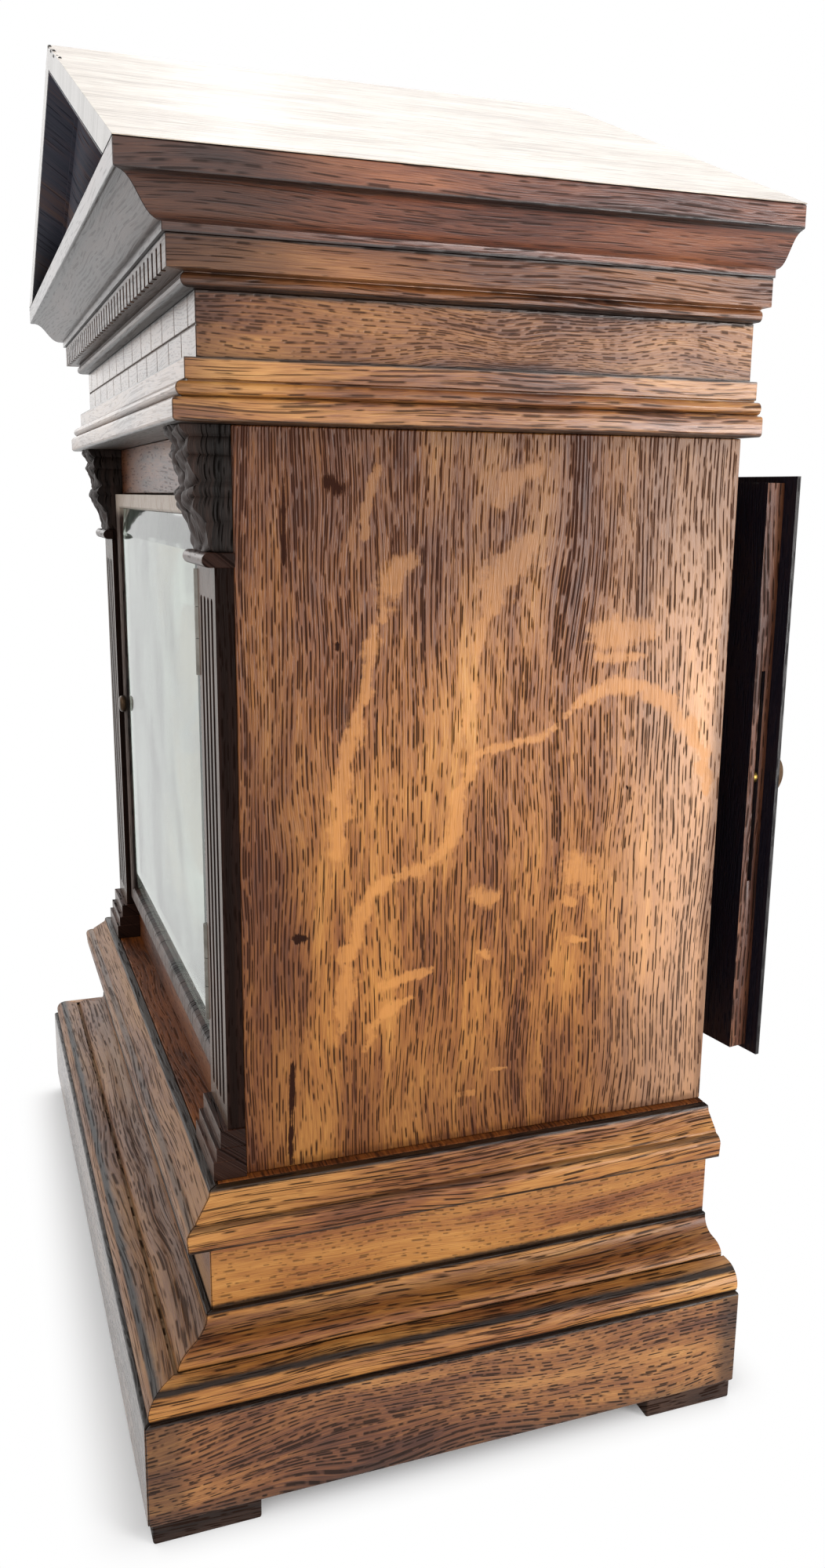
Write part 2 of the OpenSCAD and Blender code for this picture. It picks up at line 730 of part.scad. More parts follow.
// One length of knuckle, from one share of the hinge to another
module knuckle(r, from, to) {
    translate([0, 0, hinge_l * from + 0.1]) cylinder(h = hinge_l * (to - from) - 0.2, r = r, $fn = 40);
}

module knuckle_bore(r) {
    translate([0, 0, -1]) cylinder(h = hinge_l + 2, r = r, $fn = 40);
}

module at_front_hinges() {
    for (s = hinge_zs) translate([0, 0, door_bottom + (door_top - door_bottom) * s - hinge_l / 2]) children();
}

module front_case_leaf() {
    x1 = door_open_x - 0.05;
    translate([front_axis[0], front_axis[1], 0]) difference() {
        union() {
            knuckle(front_knuckle_r, 0, 0.35);
            knuckle(front_knuckle_r, 0.65, 1);
            for (s = [[0, 0.35], [0.65, 1]])
                box([front_knuckle_r - leaf_t + 0.15, 0, hinge_l * s[0] + 0.1], [x1 - front_axis[0], 4, hinge_l * s[1] - 0.1]);
            box([x1 - leaf_t - front_axis[0] + 0.05, 3.4, 0.1], [x1 - front_axis[0], door_y1 - front_axis[1] - 1, hinge_l - 0.1]);
        }
        knuckle_bore(pin_r - 0.1);
    }
}

module front_door_leaf() {
    translate([front_axis[0], front_axis[1], 0]) difference() {
        union() {
            knuckle(front_knuckle_r, 0.35, 0.65);
            box([door_x + 0.05 - front_axis[0], 0.6, hinge_l * 0.35 + 0.1], [door_x + leaf_t - front_axis[0], 3.4, hinge_l * 0.65 - 0.1]);
            box([door_x + 0.05 - front_axis[0], 3.4, 0.1], [door_x + leaf_t - front_axis[0], door_y1 - front_axis[1] - 1, hinge_l - 0.1]);
        }
        knuckle_bore(pin_r + run);
    }
}

module front_pin() {
    translate([front_axis[0], front_axis[1], 0.05]) cylinder(h = hinge_l - 0.1, r = pin_r, $fn = 32);
}

back_axis = [-back_body_x - lip_side - back_knuckle_r - 0.6, y_back + back_knuckle_r + 0.1];
back_leaf_t = 1.1;

module at_back_hinges() {
    for (s = hinge_zs) translate([0, 0, back_z0 + (back_z1 - back_z0) * s - hinge_l / 2]) children();
}

module back_case_leaf() {
    x0 = -hw + 1.5;
    translate([back_axis[0], back_axis[1], 0]) difference() {
        union() {
            knuckle(back_knuckle_r, 0, 0.35);
            knuckle(back_knuckle_r, 0.65, 1);
            for (s = [[0, 0.35], [0.65, 1]])
                box([-back_knuckle_r, y_back + 0.05 - back_axis[1], hinge_l * s[0] + 0.1], [0, 0, hinge_l * s[1] - 0.1]);
            box([x0 - back_axis[0], y_back + 0.05 - back_axis[1], 0.1],
                [-back_knuckle_r - 0.2, y_back + 0.05 + back_leaf_t - back_axis[1], hinge_l - 0.1]);
            for (s = [[0, 0.35], [0.65, 1]])
                box([-back_knuckle_r - 0.4, y_back + 0.05 - back_axis[1], hinge_l * s[0] + 0.1],
                    [-back_knuckle_r + 0.4, y_back + 0.05 + back_leaf_t - back_axis[1], hinge_l * s[1] - 0.1]);
        }
        knuckle_bore(pin_r - 0.1);
    }
}

module back_pin() {
    translate([back_axis[0], back_axis[1], 0.05]) cylinder(h = hinge_l - 0.1, r = pin_r, $fn = 32);
}

// The case's leaves, with the pins that are driven into them
module case_hinge_leaves() {
    color(brass) {
        at_front_hinges() union() {
            front_case_leaf();
            front_pin();
        }
        at_back_hinges() union() {
            back_case_leaf();
            back_pin();
        }
    }
}

module front_door_hinge_leaves() {
    color(brass) at_front_hinges() front_door_leaf();
}

// Turns what is drawn shut to where the door stands ajar
module ajar_pose() {
    translate([back_axis[0], back_axis[1], 0]) rotate([0, 0, ajar]) translate([-back_axis[0], -back_axis[1], 0]) children();
}

module back_door_hinge_leaves() {
    y0 = y_back + lip_t + glue;
    color(brass) ajar_pose() at_back_hinges() difference() {
        union() {
            translate([back_axis[0], back_axis[1], 0]) knuckle(back_knuckle_r, 0.35, 0.65);
            box([back_axis[0], y0, hinge_l * 0.35 + 0.1], [-back_body_x - lip_side + 2, y0 + back_leaf_t, hinge_l * 0.65 - 0.1]);
            box([-back_body_x - lip_side + 0.5, y0, 0.1], [-back_body_x - lip_side + back_leaf_w, y0 + back_leaf_t, hinge_l - 0.1]);
        }
        translate([back_axis[0], back_axis[1], 0]) knuckle_bore(pin_r + run);
    }
}

module back_door_board() {
    color(dark_oak) ajar_pose() difference() {
        box([-back_body_x, y_back - back_board_t, back_z0 + back_gap], [back_body_x, y_back + 0.05 - glue, back_z1 - back_gap]);
        box([latch_x - blade_r - 0.8, blade_y - blade_t / 2 - 0.2, latch_z - blade_r - 1],
            [back_body_x + 1, blade_y + blade_t / 2 + 0.2, latch_z + blade_r + 1]);
        translate([latch_x, y_back + 1, latch_z]) rotate([90, 0, 0]) cylinder(h = back_board_t / 2 + 2, r = 2 + run, $fn = 40);
    }
}

module back_door_sheet() {
    color(dark_oak) ajar_pose() difference() {
        box([-back_body_x - lip_side, y_back + 0.05, back_z0 + back_gap - lip_end],
            [back_body_x + lip_side, y_back + lip_t, back_z1 - back_gap + lip_end]);
        translate([latch_x, y_back + lip_t + 1, latch_z]) rotate([90, 0, 0]) cylinder(h = lip_t + 2, r = 2 + run, $fn = 40);
    }
}

// A half-round plate on a rose, and the spindle that turns the blade
module thumb_turn() {
    y0 = y_back + lip_t + 0.1;
    color("#4a3a28") ajar_pose() {
        translate([latch_x, y0 + 1.2, latch_z]) rotate([90, 0, 0]) cylinder(h = 1.2, r = 5, $fn = 48);
        translate([latch_x, y0 + 1.2, latch_z]) rotate([90, 0, 0])
            cylinder(h = y0 + 1.2 - blade_y - blade_t / 2 - 0.02, r = 2, $fn = 40);
        translate([latch_x - 1.2, y0 + 1, latch_z]) rotate([0, 90, 0]) intersection() {
            cylinder(h = 2.4, r = thumb_r, $fn = 64);
            translate([-thumb_r - 1, 0, -1]) cube([2 * thumb_r + 2, thumb_r + 1, 5]);
        }
    }
}

module latch_blade() {
    color(brass) ajar_pose() translate([latch_x, blade_y + blade_t / 2, latch_z]) rotate([90, 0, 0]) union() {
        intersection() {
            cylinder(h = blade_t, r = blade_r, $fn = 96);
            translate([-blade_r - 1, -blade_r - 1, -1]) cube([blade_r + 1, 2 * blade_r + 2, blade_t + 2]);
        }
        cylinder(h = blade_t, r = 2.8, $fn = 40);
    }
}

// Dial

dial_z = (door_bottom + door_top) / 2;
mask_y = y_frame + frame_t + glue;
dial_y = mask_y + mask_t + glue;
dial_back = dial_y + dial_t;
y_fp = dial_back + dial_gap;
y_bp = y_fp + plate_t + plate_gap;

module dial_mask() {
    x = hw - side_t - 2 * glue;
    w = window_w / 2;
    z0 = z_body + 6;
    z1 = z_arch - 6;
    y1 = mask_y + mask_t;
    color("#231a12") {
        both_sides() box([w, mask_y, z0], [x, y1, z1]);
        rail(w - glue, mask_y, y1, z0, dial_z - w);
        rail(w - glue, mask_y, y1, dial_z + w, z1);
    }
}

// The plate, with its four feet riveted in
module dial_plate() {
    w = window_w / 2 + dial_lap;
    color(brass) difference() {
        union() {
            rail(w, dial_y, dial_back, dial_z - w, dial_z + w);
            for (x = [-1, 1], z = [-1, 1])
                translate([foot_x * x, y_fp - 0.05, dial_z + foot_z * z]) rotate([90, 0, 0]) cylinder(h = dial_gap, r = 3, $fn = 32);
        }
        translate([0, dial_back + 1, dial_z]) rotate([90, 0, 0]) cylinder(h = dial_t + 2, r = hour_pipe_r + 0.6, $fn = 48);
        translate([fusee_at[0], dial_back + 1, fusee_at[1]]) rotate([90, 0, 0]) cylinder(h = dial_t + 2, r = winding_hole_r, $fn = 48);
    }
}

foot_x = plate_w / 2 - 13;
foot_z = window_w / 4;
chapter_r = window_w / 2 - chapter_margin;

module chapter_ring() {
    color("silver") translate([0, dial_y - 0.05, dial_z]) rotate([90, 0, 0]) difference() {
        cylinder(h = chapter_t, r = chapter_r, $fn = 120);
        translate([0, 0, -1]) cylinder(h = chapter_t + 2, r = chapter_r - chapter_w, $fn = 120);
    }
}

// A scrolled leaf in each corner, between the ring and the window
module spandrels() {
    w = window_w / 2 - 2;
    color(brass) translate([0, dial_y - 0.05, dial_z]) rotate([90, 0, 0]) for (a = [0 : 90 : 270]) rotate([0, 0, a])
        linear_extrude(1.6) difference() {
            polygon([[w, w], [w, w * 0.5], [w * 0.93, w * 0.47], [w * 0.86, w * 0.55], [w * 0.8, w * 0.6], [w * 0.74, w * 0.66],
                [w * 0.66, w * 0.74], [w * 0.6, w * 0.8], [w * 0.55, w * 0.86], [w * 0.47, w * 0.93], [w * 0.5, w]]);
            circle(r = chapter_r + 1, $fn = 120);
            translate([w * 0.87, w * 0.87]) circle(r = w * 0.05, $fn = 24);
            translate([w * 0.94, w * 0.66]) circle(r = w * 0.03, $fn = 24);
            translate([w * 0.66, w * 0.94]) circle(r = w * 0.03, $fn = 24);
        }
}

cannon_r = 2.5;
hour_pipe_r = 3.6;
hand_t = 0.8;
hour_hand_y = dial_y - chapter_t - 3;
minute_hand_y = hour_hand_y - 2.2;

module hand(l, w, hub_r, bore_r) {
    difference() {
        union() {
            cylinder(h = hand_t, r = hub_r, $fn = 40);
            linear_extrude(hand_t) polygon([[-w / 2, 0], [-w * 0.28, l * 0.55], [-w, l * 0.68], [-w * 0.3, l * 0.8], [0, l],
                [w * 0.3, l * 0.8], [w, l * 0.68], [w * 0.28, l * 0.55], [w / 2, 0]]);
        }
        translate([0, 0, -1]) cylinder(h = hand_t + 2, r = bore_r, $fn = 40);
    }
}

// The hands show ten past ten
module hour_hand() {
    color("midnightblue") translate([0, hour_hand_y + hand_t, dial_z]) rotate([90, 0, 0]) rotate([0, 0, 55])
        hand(chapter_r * hour_share, 4, hour_pipe_r + 2.4, hour_pipe_r + 0.02);
}

module minute_hand() {
    color("midnightblue") translate([0, minute_hand_y + hand_t, dial_z]) rotate([90, 0, 0]) rotate([0, 0, -60])
        hand(chapter_r * minute_share, 3, cannon_r + 2.1, cannon_r + 0.02);
}

// Movement

pivot_r = 0.8;
// Places of the arbors, as [x, z]
centre_at = [0, dial_z];
great_d = great_module * (great_teeth + centre_pinion_teeth) / 2;
fusee_at = centre_at + great_d * [cos(-39.8), sin(-39.8)];
barrel_reach = great_module * (great_teeth / 2 + 0.9) + barrel_r + barrel_cap + 0.5;
barrel_at = fusee_at - barrel_reach * [cos(14), sin(14)];
third_d = centre_module * (centre_teeth + third_pinion_teeth) / 2;
third_at = centre_at + third_d * [-sin(33.33), cos(33.33)];
escape_d = third_module * (third_teeth + escape_pinion_teeth) / 2;
escape_at = [0, third_at[1] + sqrt(pow(escape_d, 2) - pow(third_at[0], 2))];
span = 360 / escape_teeth * 8.5 / 2;
pallet_at = escape_at + [0, escape_r / cos(span)];

z_seat = barrel_at[1] - barrel_r - barrel_cap - seat_gap;

module seat_board() {
    color(oak) {
        rail(hw - side_t - 2 * glue, mask_y + mask_t + dial_t + 3, y_bp + plate_t + 2, z_seat - seat_t, z_seat - glue / 2);
        both_sides() box([hw - side_t - cleat_w, mask_y + mask_t + dial_t + 3, z_seat - seat_t - cleat_h],
            [hw - side_t - 2 * glue, y_bp + plate_t + 2, z_seat - seat_t - glue]);
    }
}

// Lays a shape that is drawn upright along Y, from y0 towards the front
module along_y(at, y0) {
    translate([at[0], y0, at[1]]) rotate([90, 0, 0]) children();
}

module hole(at, r) {
    along_y(at, y_bp + plate_t + 1) cylinder(h = y_bp + plate_t - y_fp + 2, r = r, $fn = 32);
}

pillar_at = [for (x = [-1, 1], z = [2 * pillar_r - 1, plate_h - 2 * pillar_r + 1]) [x * (plate_w / 2 - 2 * pillar_r), z_seat + z]];
minute_at = centre_at + minute_d * [cos(200), sin(200)];
motion_module = minute_d * 2 / (cannon_teeth + minute_teeth);
hour_module = minute_d * 2 / (minute_pinion_teeth + hour_teeth);

// The front plate carries the stud of the minute wheel
module front_plate() {
    color(brass) {
        difference() {
            rail(plate_w / 2, y_fp, y_fp + plate_t, z_seat, z_seat + plate_h);
            hole(centre_at, arbor_r + run);
            for (a = [third_at, escape_at, pallet_at]) hole(a, pivot_r + run);
            hole(fusee_at, 3 + run);
            hole(barrel_at, 2.5 + run);
            for (p = pillar_at) hole(p, 1.5 + run);
            hole(minute_at, 1.2);
        }
        along_y(minute_at, y_fp + plate_t) cylinder(h = plate_t + 10, r = 1.2, $fn = 32);
    }
}

module back_plate() {
    color(brass) difference() {
        rail(plate_w / 2, y_bp, y_bp + plate_t, z_seat, z_seat + plate_h);
        for (a = [centre_at, third_at, escape_at]) hole(a, pivot_r + run);
        hole(fusee_at, 2 + run);
        hole(barrel_at, 2.5 + run);
        hole(pallet_at, 4);
        for (p = pillar_at) hole(p, 1.5 + run);
    }
}

// Turned pillars with a collar at each end and a pin through each plate
module pillars() {
    color(brass) for (p = pillar_at) along_y(p, y_bp - 0.05) rotate_extrude($fn = 40)
        polygon([[0, -plate_t - 2], [1.5, -plate_t - 2], [1.5, 0], [pillar_r + 1, 0], [pillar_r + 1, 3], [pillar_r - 1, 4],
            [pillar_r - 0.6, plate_gap / 2], [pillar_r - 1, plate_gap - 4], [pillar_r + 1, plate_gap - 3.1],
            [pillar_r + 1, plate_gap - 0.1], [1.5, plate_gap - 0.1], [1.5, plate_gap + plate_t + 2], [0, plate_gap + plate_t + 2]]);
}

// A gear's outline: each tooth has a root, two flanks and a flat tip
function gear_points(n, m, add, ded, phase, fat = 0.42) = [for (i = [0 : n - 1], k = [0 : 3])
    let (r = k == 0 || k == 3 ? m * n / 2 - ded * m : m * n / 2 + add * m,
        half = (k == 0 || k == 3 ? fat * 0.62 : fat * 0.32) * 360 / n,
        a = phase + i * 360 / n + (k < 2 ? -half : half)) [r * cos(a), r * sin(a)]];

module gear(n, m, t, phase, add = 0.9, ded = 1.15, fat = 0.42) {
    linear_extrude(t) polygon(gear_points(n, m, add, ded, phase, fat));
}

// A wheel with a rim, four spokes and a hub
module wheel(n, m, t, phase, hub_r, rim) {
    inner = m * n / 2 - 1.15 * m - rim;
    difference() {
        gear(n, m, t, phase);
        translate([0, 0, -1]) difference() {
            cylinder(h = t + 2, r = inner, $fn = 72);
            translate([0, 0, -1]) cylinder(h = t + 4, r = hub_r, $fn = 40);
            for (a = [45, 135]) rotate([0, 0, a]) translate([-inner - 1, -1.4, -1]) cube([2 * inner + 2, 2.8, t + 4]);
        }
    }
}

// Angle of the line from one arbor to another, as drawn on a face that looks to the front
function heading(a, b) = atan2(b[1] - a[1], b[0] - a[0]);
// Phase that puts a tooth space of an n-tooth gear on a heading
function space_on(n, angle) = angle + 180 / n;

great_heading = heading(fusee_at, centre_at);
third_heading = heading(centre_at, third_at);
escape_heading = heading(third_at, escape_at);
y_great = y_bp - 7.5;
y_centre = y_bp - 3;
y_third = y_bp - 27;
y_escape = y_bp - 13;

module great_wheel() {
    color(brass) along_y(fusee_at, y_great + 2.5) difference() {
        wheel(great_teeth, great_module, 2.5, great_heading, 9, 4);
        translate([0, 0, -1]) cylinder(h = 5, r = 3 + run, $fn = 40);
    }
}

// A stepped cone whose radius falls as the line's pull rises, on its winding arbor
module fusee() {
    small = 9;
    n = fusee_turns;
    y_large = y_great - 0.4;
    outline = [for (i = [0 : n - 1], k = [0 : 2])
        let (t = (i + [0, 0.1, 0.75][k]) / n, r = small * fusee_r / (small + (fusee_r - small) * t))
        [r - (k == 2 ? 0.5 : (k == 1 ? 0.5 : 0)), fusee_l * t]];
    color(brass) along_y(fusee_at, y_large) rotate_extrude($fn = 60)
        polygon(concat([[0, 0]], outline, [[small, fusee_l - 0.4], [small + 2, fusee_l - 0.4], [small + 2, fusee_l + 1.2], [0, fusee_l + 1.2]]));
    color(steel) {
        along_y(fusee_at, y_bp + plate_t - 0.2) cylinder(h = plate_t + 0.5, r = 2, $fn = 32);
        along_y(fusee_at, y_bp - 0.3) cylinder(h = y_bp - y_fp + 0.7, r = 3, $fn = 32);
        translate([fusee_at[0] - 1.9, dial_y + 0.4, fusee_at[1] - 1.9]) cube([3.8, y_fp - dial_y, 3.8]);
    }
}

barrel_l = 44;
y_barrel = y_bp - 5;

// A drum with two caps that stand proud, on its own arbor
module barrel() {
    color(brass) along_y(barrel_at, y_barrel) {
        cylinder(h = barrel_l, r = barrel_r, $fn = 90);
        cylinder(h = 1.6, r = barrel_r + barrel_cap, $fn = 90);
        translate([0, 0, barrel_l - 1.6]) cylinder(h = 1.6, r = barrel_r + barrel_cap, $fn = 90);
    }
    color(steel) along_y(barrel_at, y_bp + plate_t + 1) cylinder(h = y_bp + 2 * plate_t - y_fp + 5, r = 2.5, $fn = 32);
}

line_y0 = y_barrel - 2;
line_turns = 9;

// The turns of line on the barrel, as one sleeve
module line_on_barrel() {
    color("wheat") along_y(barrel_at, line_y0) difference() {
        cylinder(h = line_turns * (line_d + 0.5), r = barrel_r + line_d, $fn = 90);
        translate([0, 0, -1]) cylinder(h = line_turns * (line_d + 0.5) + 2, r = barrel_r + 0.03, $fn = 90);
    }
}

// The free stretch of line, from the top of the barrel to the top of the fusee's large end
module line_run() {
    r1 = barrel_r + line_d + 0.35;
    r2 = fusee_r + 0.4;
    d = norm(barrel_at - fusee_at);
    base = atan2(fusee_at[1] - barrel_at[1], fusee_at[0] - barrel_at[0]);
    lean = asin((r1 - r2) / d);
    l = sqrt(d * d - pow(r1 - r2, 2));
    n = 90 + base - lean;
    from = barrel_at + (r1 + line_d / 2) * [cos(n), sin(n)];
    color("wheat") translate([from[0], line_y0 - line_d - 0.4, from[1]]) rotate([0, 90 - n, 0])
        rotate([0, 90, 0]) cylinder(h = l, r = line_d / 2, $fn = 24);
}

module arbor(at, from, to) {
    along_y(at, from) cylinder(h = from - to, r = arbor_r, $fn = 32);
}

module pivots(at) {
    along_y(at, y_bp + plate_t - 0.3) cylinder(h = y_bp - y_fp + plate_t - 0.6, r = pivot_r, $fn = 32);
}

// The centre arbor runs on through the front plate, inside the cannon pinion
module centre_wheel() {
    color(brass) along_y(centre_at, y_centre + 1.6) wheel(centre_teeth, centre_module, 1.6,
        third_heading, 5, 3);
    color(steel) {
        along_y(centre_at, y_great + 3) gear(centre_pinion_teeth, great_module, 3.1,
            space_on(centre_pinion_teeth, great_heading + 180), 0.75, 1.0, 0.34);
        arbor(centre_at, y_bp - 0.3, y_fp - 0.4);
        along_y(centre_at, y_bp + plate_t - 0.3) cylinder(h = plate_t, r = pivot_r, $fn = 32);
        along_y(centre_at, y_fp) cylinder(h = y_fp - minute_hand_y + 0.6, r = 1, $fn = 32);
    }
}

module third_wheel() {
    color(brass) along_y(third_at, y_third + 1.5) wheel(third_teeth, third_module, 1.5,
        escape_heading, 4, 2.6);
    color(steel) {
        along_y(third_at, y_centre + 2.2) gear(third_pinion_teeth, centre_module, 3,
            space_on(third_pinion_teeth, third_heading + 180), 0.75, 1.0, 0.34);
        arbor(third_at, y_bp - 0.3, y_fp + plate_t + 0.3);
        pivots(third_at);
    }
}

// Pointed teeth that lean forward, on a light rim
module escape_wheel() {
    pts = [for (i = [0 : escape_teeth - 1], k = [0 : 2]) let (r = [escape_r - 3.4, escape_r, escape_r - 3.4][k],
        a = 90 + (i + [0, 0.12, 0.42][k]) * 360 / escape_teeth) [r * cos(a), r * sin(a)]];
    color(brass) along_y(escape_at, y_escape + 1.2) linear_extrude(1.2) difference() {
        polygon(pts);
        difference() {
            circle(r = escape_r - 5.4, $fn = 60);
            circle(r = 3.2, $fn = 32);
            for (a = [45, 135]) rotate(a) square([2 * escape_r, 2], center = true);
        }
    }
    color(steel) {
        along_y(escape_at, y_third + 2.6) gear(escape_pinion_teeth, third_module, 3.6,
            space_on(escape_pinion_teeth, escape_heading + 180), 0.75, 1.0, 0.34);
        arbor(escape_at, y_bp - 0.3, y_fp + plate_t + 0.3);
        pivots(escape_at);
    }
}

crutch_y = y_bp + plate_t + 4.2;
rod_y = y_bp + plate_t + 10;
crutch_l = 44;
nib_clear = escape_r * tan(span) * sin(swing) + 0.45;

// An anchor over the escape wheel, its arbor, and the crutch behind the back plate
module pallets() {
    reach = escape_r + nib_clear;
    drop = pallet_at[1] - escape_at[1];
    color(steel) {
        along_y(pallet_at, y_escape + 1.8) linear_extrude(2.4) difference() {
            union() {
                circle(r = 4, $fn = 40);
                for (s = [-1, 1]) polygon([[0, 3], [s * reach * sin(span) * 0.9, -drop * 0.36], [s * (reach * sin(span) + 2.4), -drop + reach * cos(span) + 2],
                    [s * reach * sin(span), -drop + reach * cos(span)], [s * (reach * sin(span) - 3.2), -drop * 0.42], [0, -4]]);
            }
            translate([0, -drop]) circle(r = reach, $fn = 90);
        }
        arbor(pallet_at, crutch_y + 1.4, y_fp + plate_t + 0.3);
        along_y(pallet_at, crutch_y + 2.4) cylinder(h = crutch_y + 2.4 - y_fp - 0.3, r = pivot_r, $fn = 32);
        along_y(pallet_at, crutch_y + 1.4) linear_extrude(1.4) {
            circle(r = 3.4, $fn = 32);
            translate([-1.6, -crutch_l]) square([3.2, crutch_l]);
            translate([-4.4, -crutch_l - 3]) square([8.8, 4]);
        }
        for (s = [-1, 1]) translate([pallet_at[0] + (s < 0 ? -3.6 : 2), crutch_y + 0.8, pallet_at[1] - crutch_l - 3])
            cube([1.6, rod_y - crutch_y + 2, 3]);
    }
}

cock_z = pallet_at[1] + 9;

// A bridge on the back plate that carries the pallet arbor and hangs the pendulum
module back_cock() {
    y0 = y_bp + plate_t + 0.05;
    color(brass) difference() {
        union() {
            rail(18, y0, y0 + 2, pallet_at[1] - 7, cock_z + 6);
            both_sides() box([12, y0, pallet_at[1] - 5, ], [16, rod_y + 4, cock_z + 6]);
            rail(16, rod_y - 4, rod_y + 4, cock_z, cock_z + 6);
        }
        along_y(pallet_at, y0 + 3) cylinder(h = 4, r = arbor_r + run, $fn = 32);
    }
    color(steel) rail(0.3, rod_y - 2, rod_y + 2, pallet_at[1] + 0.4, cock_z + 0.5);
}

// The spring strip below its bend, the rod, and the thread for the rating nut
module pendulum_rod() {
    z1 = pallet_at[1];
    z0 = z1 - pendulum_l;
    color(steel) {
        rail(0.3, rod_y - 2, rod_y + 2, z1 - 12, z1 - 0.4);
        rail(1.6, rod_y - 2.4, rod_y + 2.4, z1 - 17, z1 - 11);
        translate([0, rod_y, z0 - bob_r - 5]) cylinder(h = z1 - 16 - z0 + bob_r + 5, r = 1.5, $fn = 32);
    }
    color(brass) translate([0, rod_y, z0 - bob_r - 3.4]) cylinder(h = 3, r = 4, $fn = 40);
}

// A lens-shaped weight with a hole for the rod
module pendulum_bob() {
    z0 = pallet_at[1] - pendulum_l;
    rim = 2.5;
    color(brass) difference() {
        translate([0, rod_y, z0]) rotate([90, 0, 0]) rotate_extrude($fn = 72) polygon(concat([[0, -bob_t / 2]],
            [for (i = [1 : 5]) [bob_r * sin(18 * i), -rim / 2 - (bob_t - rim) / 2 * cos(18 * i)]],
            [for (i = [5 : -1 : 1]) [bob_r * sin(18 * i), rim / 2 + (bob_t - rim) / 2 * cos(18 * i)]], [[0, bob_t / 2]]));
        translate([0, rod_y, z0 - bob_r - 1]) cylinder(h = 2 * bob_r + 2, r = 1.5 + 0.02, $fn = 32);
    }
}

// Motion work, between the front plate and the dial

y_cannon = y_fp - 1;
minute_heading = heading(centre_at, minute_at);

module cannon_pinion() {
    color(brass) along_y(centre_at, y_cannon) difference() {
        union() {
            gear(cannon_teeth, motion_module, 2.6, space_on(cannon_teeth, minute_heading));
            cylinder(h = y_cannon - minute_hand_y - 0.2, r = cannon_r, $fn = 40);
        }
        translate([0, 0, -1]) cylinder(h = y_cannon - minute_hand_y + 4, r = 1 + run, $fn = 32);
    }
}

y_hour = y_cannon - 5.2;

module minute_wheel() {
    color(brass) along_y(minute_at, y_cannon - 0.3) difference() {
        union() {
            gear(minute_teeth, motion_module, 1.6, minute_heading + 180);
            gear(minute_pinion_teeth, hour_module, 8, space_on(minute_pinion_teeth, minute_heading + 180));
        }
        translate([0, 0, -1]) cylinder(h = 12, r = 1.2 + run, $fn = 32);
    }
}

module hour_wheel() {
    color(brass) along_y(centre_at, y_hour) difference() {
        union() {
            gear(hour_teeth, hour_module, 1.8, minute_heading);
            cylinder(h = y_hour - hour_hand_y - 0.1, r = hour_pipe_r, $fn = 48);
        }
        translate([0, 0, -1]) cylinder(h = y_hour - hour_hand_y + 4, r = cannon_r + run, $fn = 40);
    }
}

feet();
plinth();
base_board();
ovolo_moulding();
ogee_moulding();
die_frame();
platform_board();
surbase_moulding();
side_panel_left();
side_panel_right();
front_frame();
pilasters();
pilaster_bases();
capitals();
corbels();
architrave();
frieze();
dentil_band();
cornice();
top_board();
roof_boards();
pediment_panels();
ceiling_board();
back_frame();
front_door_frame();
front_door_glass();
front_door_knob();
case_hinge_leaves();
front_door_hinge_leaves();
back_door_board();
back_door_sheet();
thumb_turn();
latch_blade();
strike_plate();
back_door_hinge_leaves();
dial_mask();
dial_plate();
chapter_ring();
spandrels();
hour_hand();
minute_hand();
seat_board();
front_plate();
back_plate();
pillars();
barrel();
fusee();
great_wheel();
centre_wheel();
third_wheel();
escape_wheel();
pallets();
back_cock();
pendulum_rod();
pendulum_bob();
cannon_pinion();
minute_wheel();
hour_wheel();
line_on_barrel();
line_run();
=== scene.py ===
import json
import math

import bmesh
import bpy
from mathutils import Matrix, Vector


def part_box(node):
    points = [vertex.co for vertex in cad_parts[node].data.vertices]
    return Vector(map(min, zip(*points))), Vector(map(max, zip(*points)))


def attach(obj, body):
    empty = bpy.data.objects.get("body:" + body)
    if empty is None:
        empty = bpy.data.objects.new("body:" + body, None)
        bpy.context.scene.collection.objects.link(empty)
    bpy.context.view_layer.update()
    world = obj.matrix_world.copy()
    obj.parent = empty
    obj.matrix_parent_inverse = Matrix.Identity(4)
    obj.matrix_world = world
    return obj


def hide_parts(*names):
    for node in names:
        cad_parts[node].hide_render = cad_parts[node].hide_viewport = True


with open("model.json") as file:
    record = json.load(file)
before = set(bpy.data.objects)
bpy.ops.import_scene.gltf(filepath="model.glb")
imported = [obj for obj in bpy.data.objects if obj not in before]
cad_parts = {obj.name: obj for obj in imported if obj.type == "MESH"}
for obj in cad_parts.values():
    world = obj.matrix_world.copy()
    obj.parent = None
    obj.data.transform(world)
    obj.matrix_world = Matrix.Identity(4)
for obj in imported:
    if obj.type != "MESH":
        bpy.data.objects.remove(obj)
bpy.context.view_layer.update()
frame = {"nodes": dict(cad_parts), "record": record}
mm = 0.001

bodyOf = {}
for bodyName, nodeNames in frame["record"]["behaviour"]["bodies"].items():
    for nodeName in nodeNames:
        bodyOf[nodeName] = bodyName


def hexColor(text):
    # sRGB hex to the linear values that the shaders work in
    parts = [int(text[i:i + 2], 16) / 255 for i in (1, 3, 5)]
    return tuple(c / 12.92 if c <= 0.04045 else ((c + 0.055) / 1.055) ** 2.4 for c in parts) + (1.0,)


